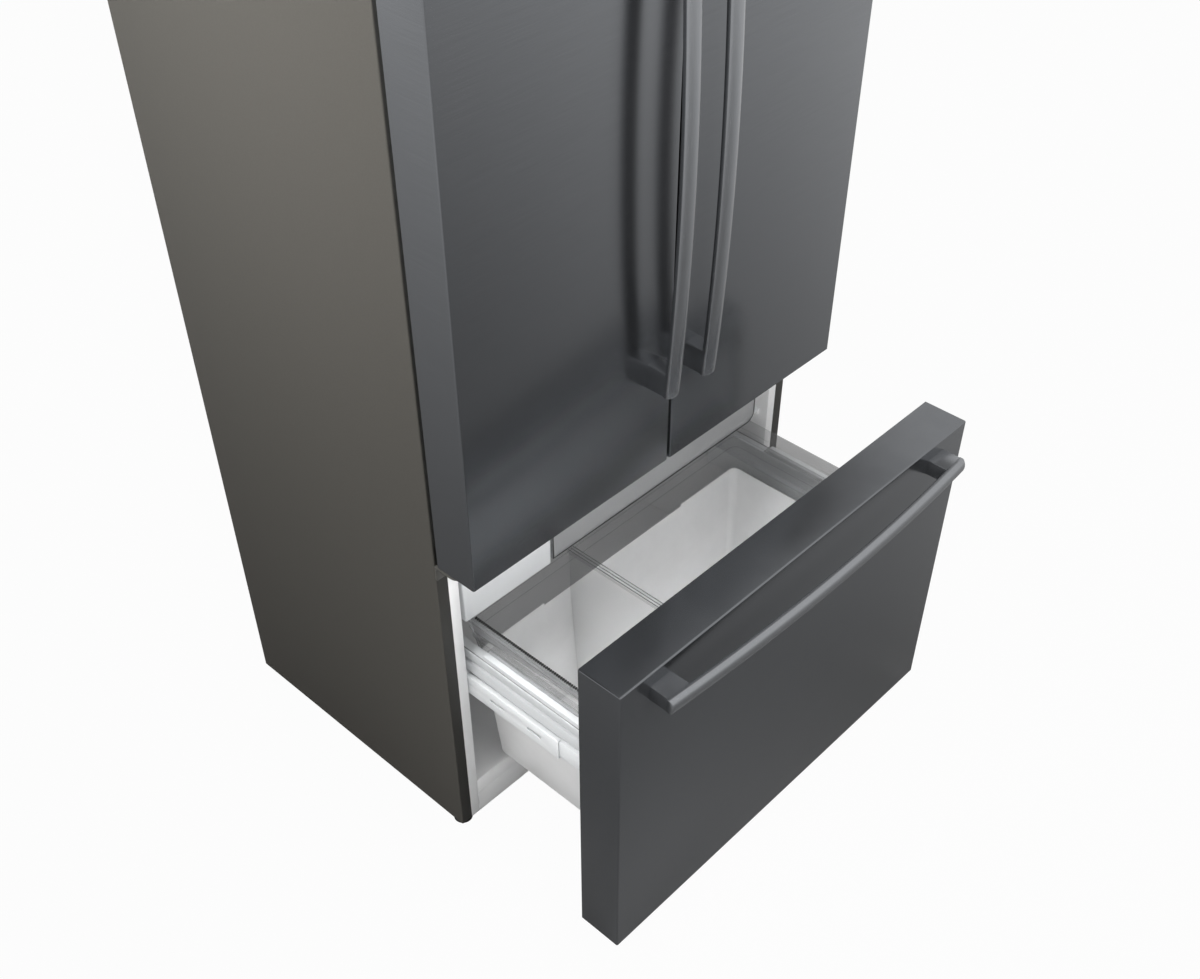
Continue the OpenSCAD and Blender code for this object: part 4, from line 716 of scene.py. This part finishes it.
def makeStage():
    clearSelection()
    bpy.ops.mesh.primitive_plane_add(size=stageLook["floorSize"])
    floor = bpy.context.object
    floor.name = "studioFloor"
    # painted studio floor: white to the camera, and in shiny surfaces dark near by and white far off
    paint = {"Base Color": linear(stageLook["floor"]), "Roughness": stageLook["floorRough"]}
    material, shader = newMaterial("paintedFloor", paint)
    glow = addNode(material, "ShaderNodeEmission", {"Color": (1, 1, 1, 1), "Strength": 1.0})
    ray = addNode(material, "ShaderNodeLightPath")
    place = addNode(material, "ShaderNodeTexCoord")
    spread = addNode(material, "ShaderNodeMapping", {"Scale": stageLook["spread"]},
                     {"Vector": place.outputs["Object"]})
    reach = addNode(material, "ShaderNodeVectorMath", {"operation": "LENGTH"},
                    {"Vector": spread.outputs["Vector"]})
    fade = addNode(material, "ShaderNodeMapRange",
                   {"From Min": stageLook["near"], "From Max": stageLook["far"],
                    "To Min": stageLook["nearGlow"], "To Max": stageLook["farGlow"]},
                   {"Value": reach.outputs["Value"]})
    direct = mathNode(material, "MULTIPLY", unveiled(ray, material), stageLook["glow"])
    reflected = mathNode(material, "MULTIPLY", sentOn(ray, material), fade.outputs["Result"])
    blend = addNode(material, "ShaderNodeMixShader", None,
                    {"Fac": mathNode(material, "MAXIMUM", direct, reflected)})
    material.node_tree.links.new(shader.outputs[0], blend.inputs[1])
    material.node_tree.links.new(glow.outputs[0], blend.inputs[2])
    setSurface(material, blend.outputs[0])
    floor.data.materials.append(material)

    world = bpy.data.worlds.new("studioWorld")
    bpy.context.scene.world = world
    world.use_nodes = True
    back = world.node_tree.nodes["Background"]
    back.inputs["Color"].default_value = (1, 1, 1, 1)
    ray = addNode(world, "ShaderNodeLightPath")
    # level surfaces mirror the dark upper part of the studio behind the object, open at the right
    place = addNode(world, "ShaderNodeTexCoord")
    way = addNode(world, "ShaderNodeSeparateXYZ", None, {"Vector": place.outputs["Generated"]})
    bright = 0
    for axis, (dark, full) in studioWall.items():
        part = addNode(world, "ShaderNodeMapRange", {"From Min": dark, "From Max": full},
                       {"Value": way.outputs[axis]})
        bright = mathNode(world, "MAXIMUM", part.outputs["Result"], bright)
    bright = mathNode(world, "MAXIMUM", bright, stageLook["darkWall"])
    seen = mathNode(world, "MAXIMUM", unveiled(ray, world), stageLook["skyLight"])
    direct = mathNode(world, "MULTIPLY", seen, mathNode(world, "SUBTRACT", 1, sentOn(ray, world)))
    mirrored = mathNode(world, "MULTIPLY", bright, sentOn(ray, world))
    world.node_tree.links.new(mathNode(world, "ADD", direct, mirrored), back.inputs["Strength"])


lamps = {  # soft boxes: place, aim, size in metres, watts, and for some their spread in degrees
    "topSoftbox": ((-0.5, -1.3, 4.0), (0, -0.2, 0.6), 2.4, 39),
    "leftSoftbox": ((-1.6, 0.2, 2.9), (-0.45, 0.15, 1.75), 1.1, 15, 60),
    "leftRearSoftbox": ((-2.6, 2.8, 1.2), (0, 0, 0.9), 1.6, 8),
    "lowLeftFill": ((-1.2, -1.0, 0.3), (-0.38, -0.42, 0.28), 0.5, 0.8, 60),
    "rightSoftbox": ((2.7, -2.5, 1.4), (0, 0, 0.9), 1.7, 25),
    "backSoftbox": ((1.6, 3.4, 2.8), (0, 0, 0.9), 2.2, 40),
    "freezerFill": ((-0.25, -1.05, 1.02), (0.1, 0.1, 0.45), 0.5, 9),
    "freezerLamp": ((0, 0.15, 0.5), (0, 0.15, 0), 0.3, 0.1),
    "binFill": ((-0.1, -0.5, 2.2), (-0.1, -0.22, 0.2), 0.4, 1.05, 30),
}
glossyLamps = ("leftRearSoftbox", "backSoftbox")  # only these leave a highlight on the steel
openSpread = 180  # spread in degrees of the other soft boxes


def makeLamps():
    for name, (place, aim, size, power, *spread) in lamps.items():
        lamp = bpy.data.lights.new(name, "AREA")
        lamp.shape, lamp.size, lamp.energy = "SQUARE", size, power
        lamp.spread = math.radians(spread[0] if spread else openSpread)
        lampObject = bpy.data.objects.new(name, lamp)
        bpy.context.scene.collection.objects.link(lampObject)
        lampObject.location = place
        lampObject.rotation_euler = (Vector(aim) - Vector(place)).to_track_quat("-Z", "Y").to_euler()
        lampObject.visible_glossy = name in glossyLamps
        lampObject.visible_camera = False


cameraView = {"place": (-1.46276, -1.386045, 2.20125), "turn": (46.25873, -0.24375, -47.03797),
              "lens": 42.435, "sensor": 36, "shift": (-0.00865, 0.0822)}


def makeCamera():
    lens = bpy.data.cameras.new("photoCamera")
    lens.lens, lens.sensor_width = cameraView["lens"], cameraView["sensor"]
    lens.shift_x, lens.shift_y = cameraView["shift"]
    camera = bpy.data.objects.new("photoCamera", lens)
    bpy.context.scene.collection.objects.link(camera)
    camera.location = cameraView["place"]
    camera.rotation_euler = Euler([math.radians(a) for a in cameraView["turn"]], "XYZ")
    bpy.context.scene.camera = camera


makeStage()
makeLamps()
makeCamera()
bpy.context.scene.view_settings.view_transform = "Standard"
print("stage, lamps and camera made")
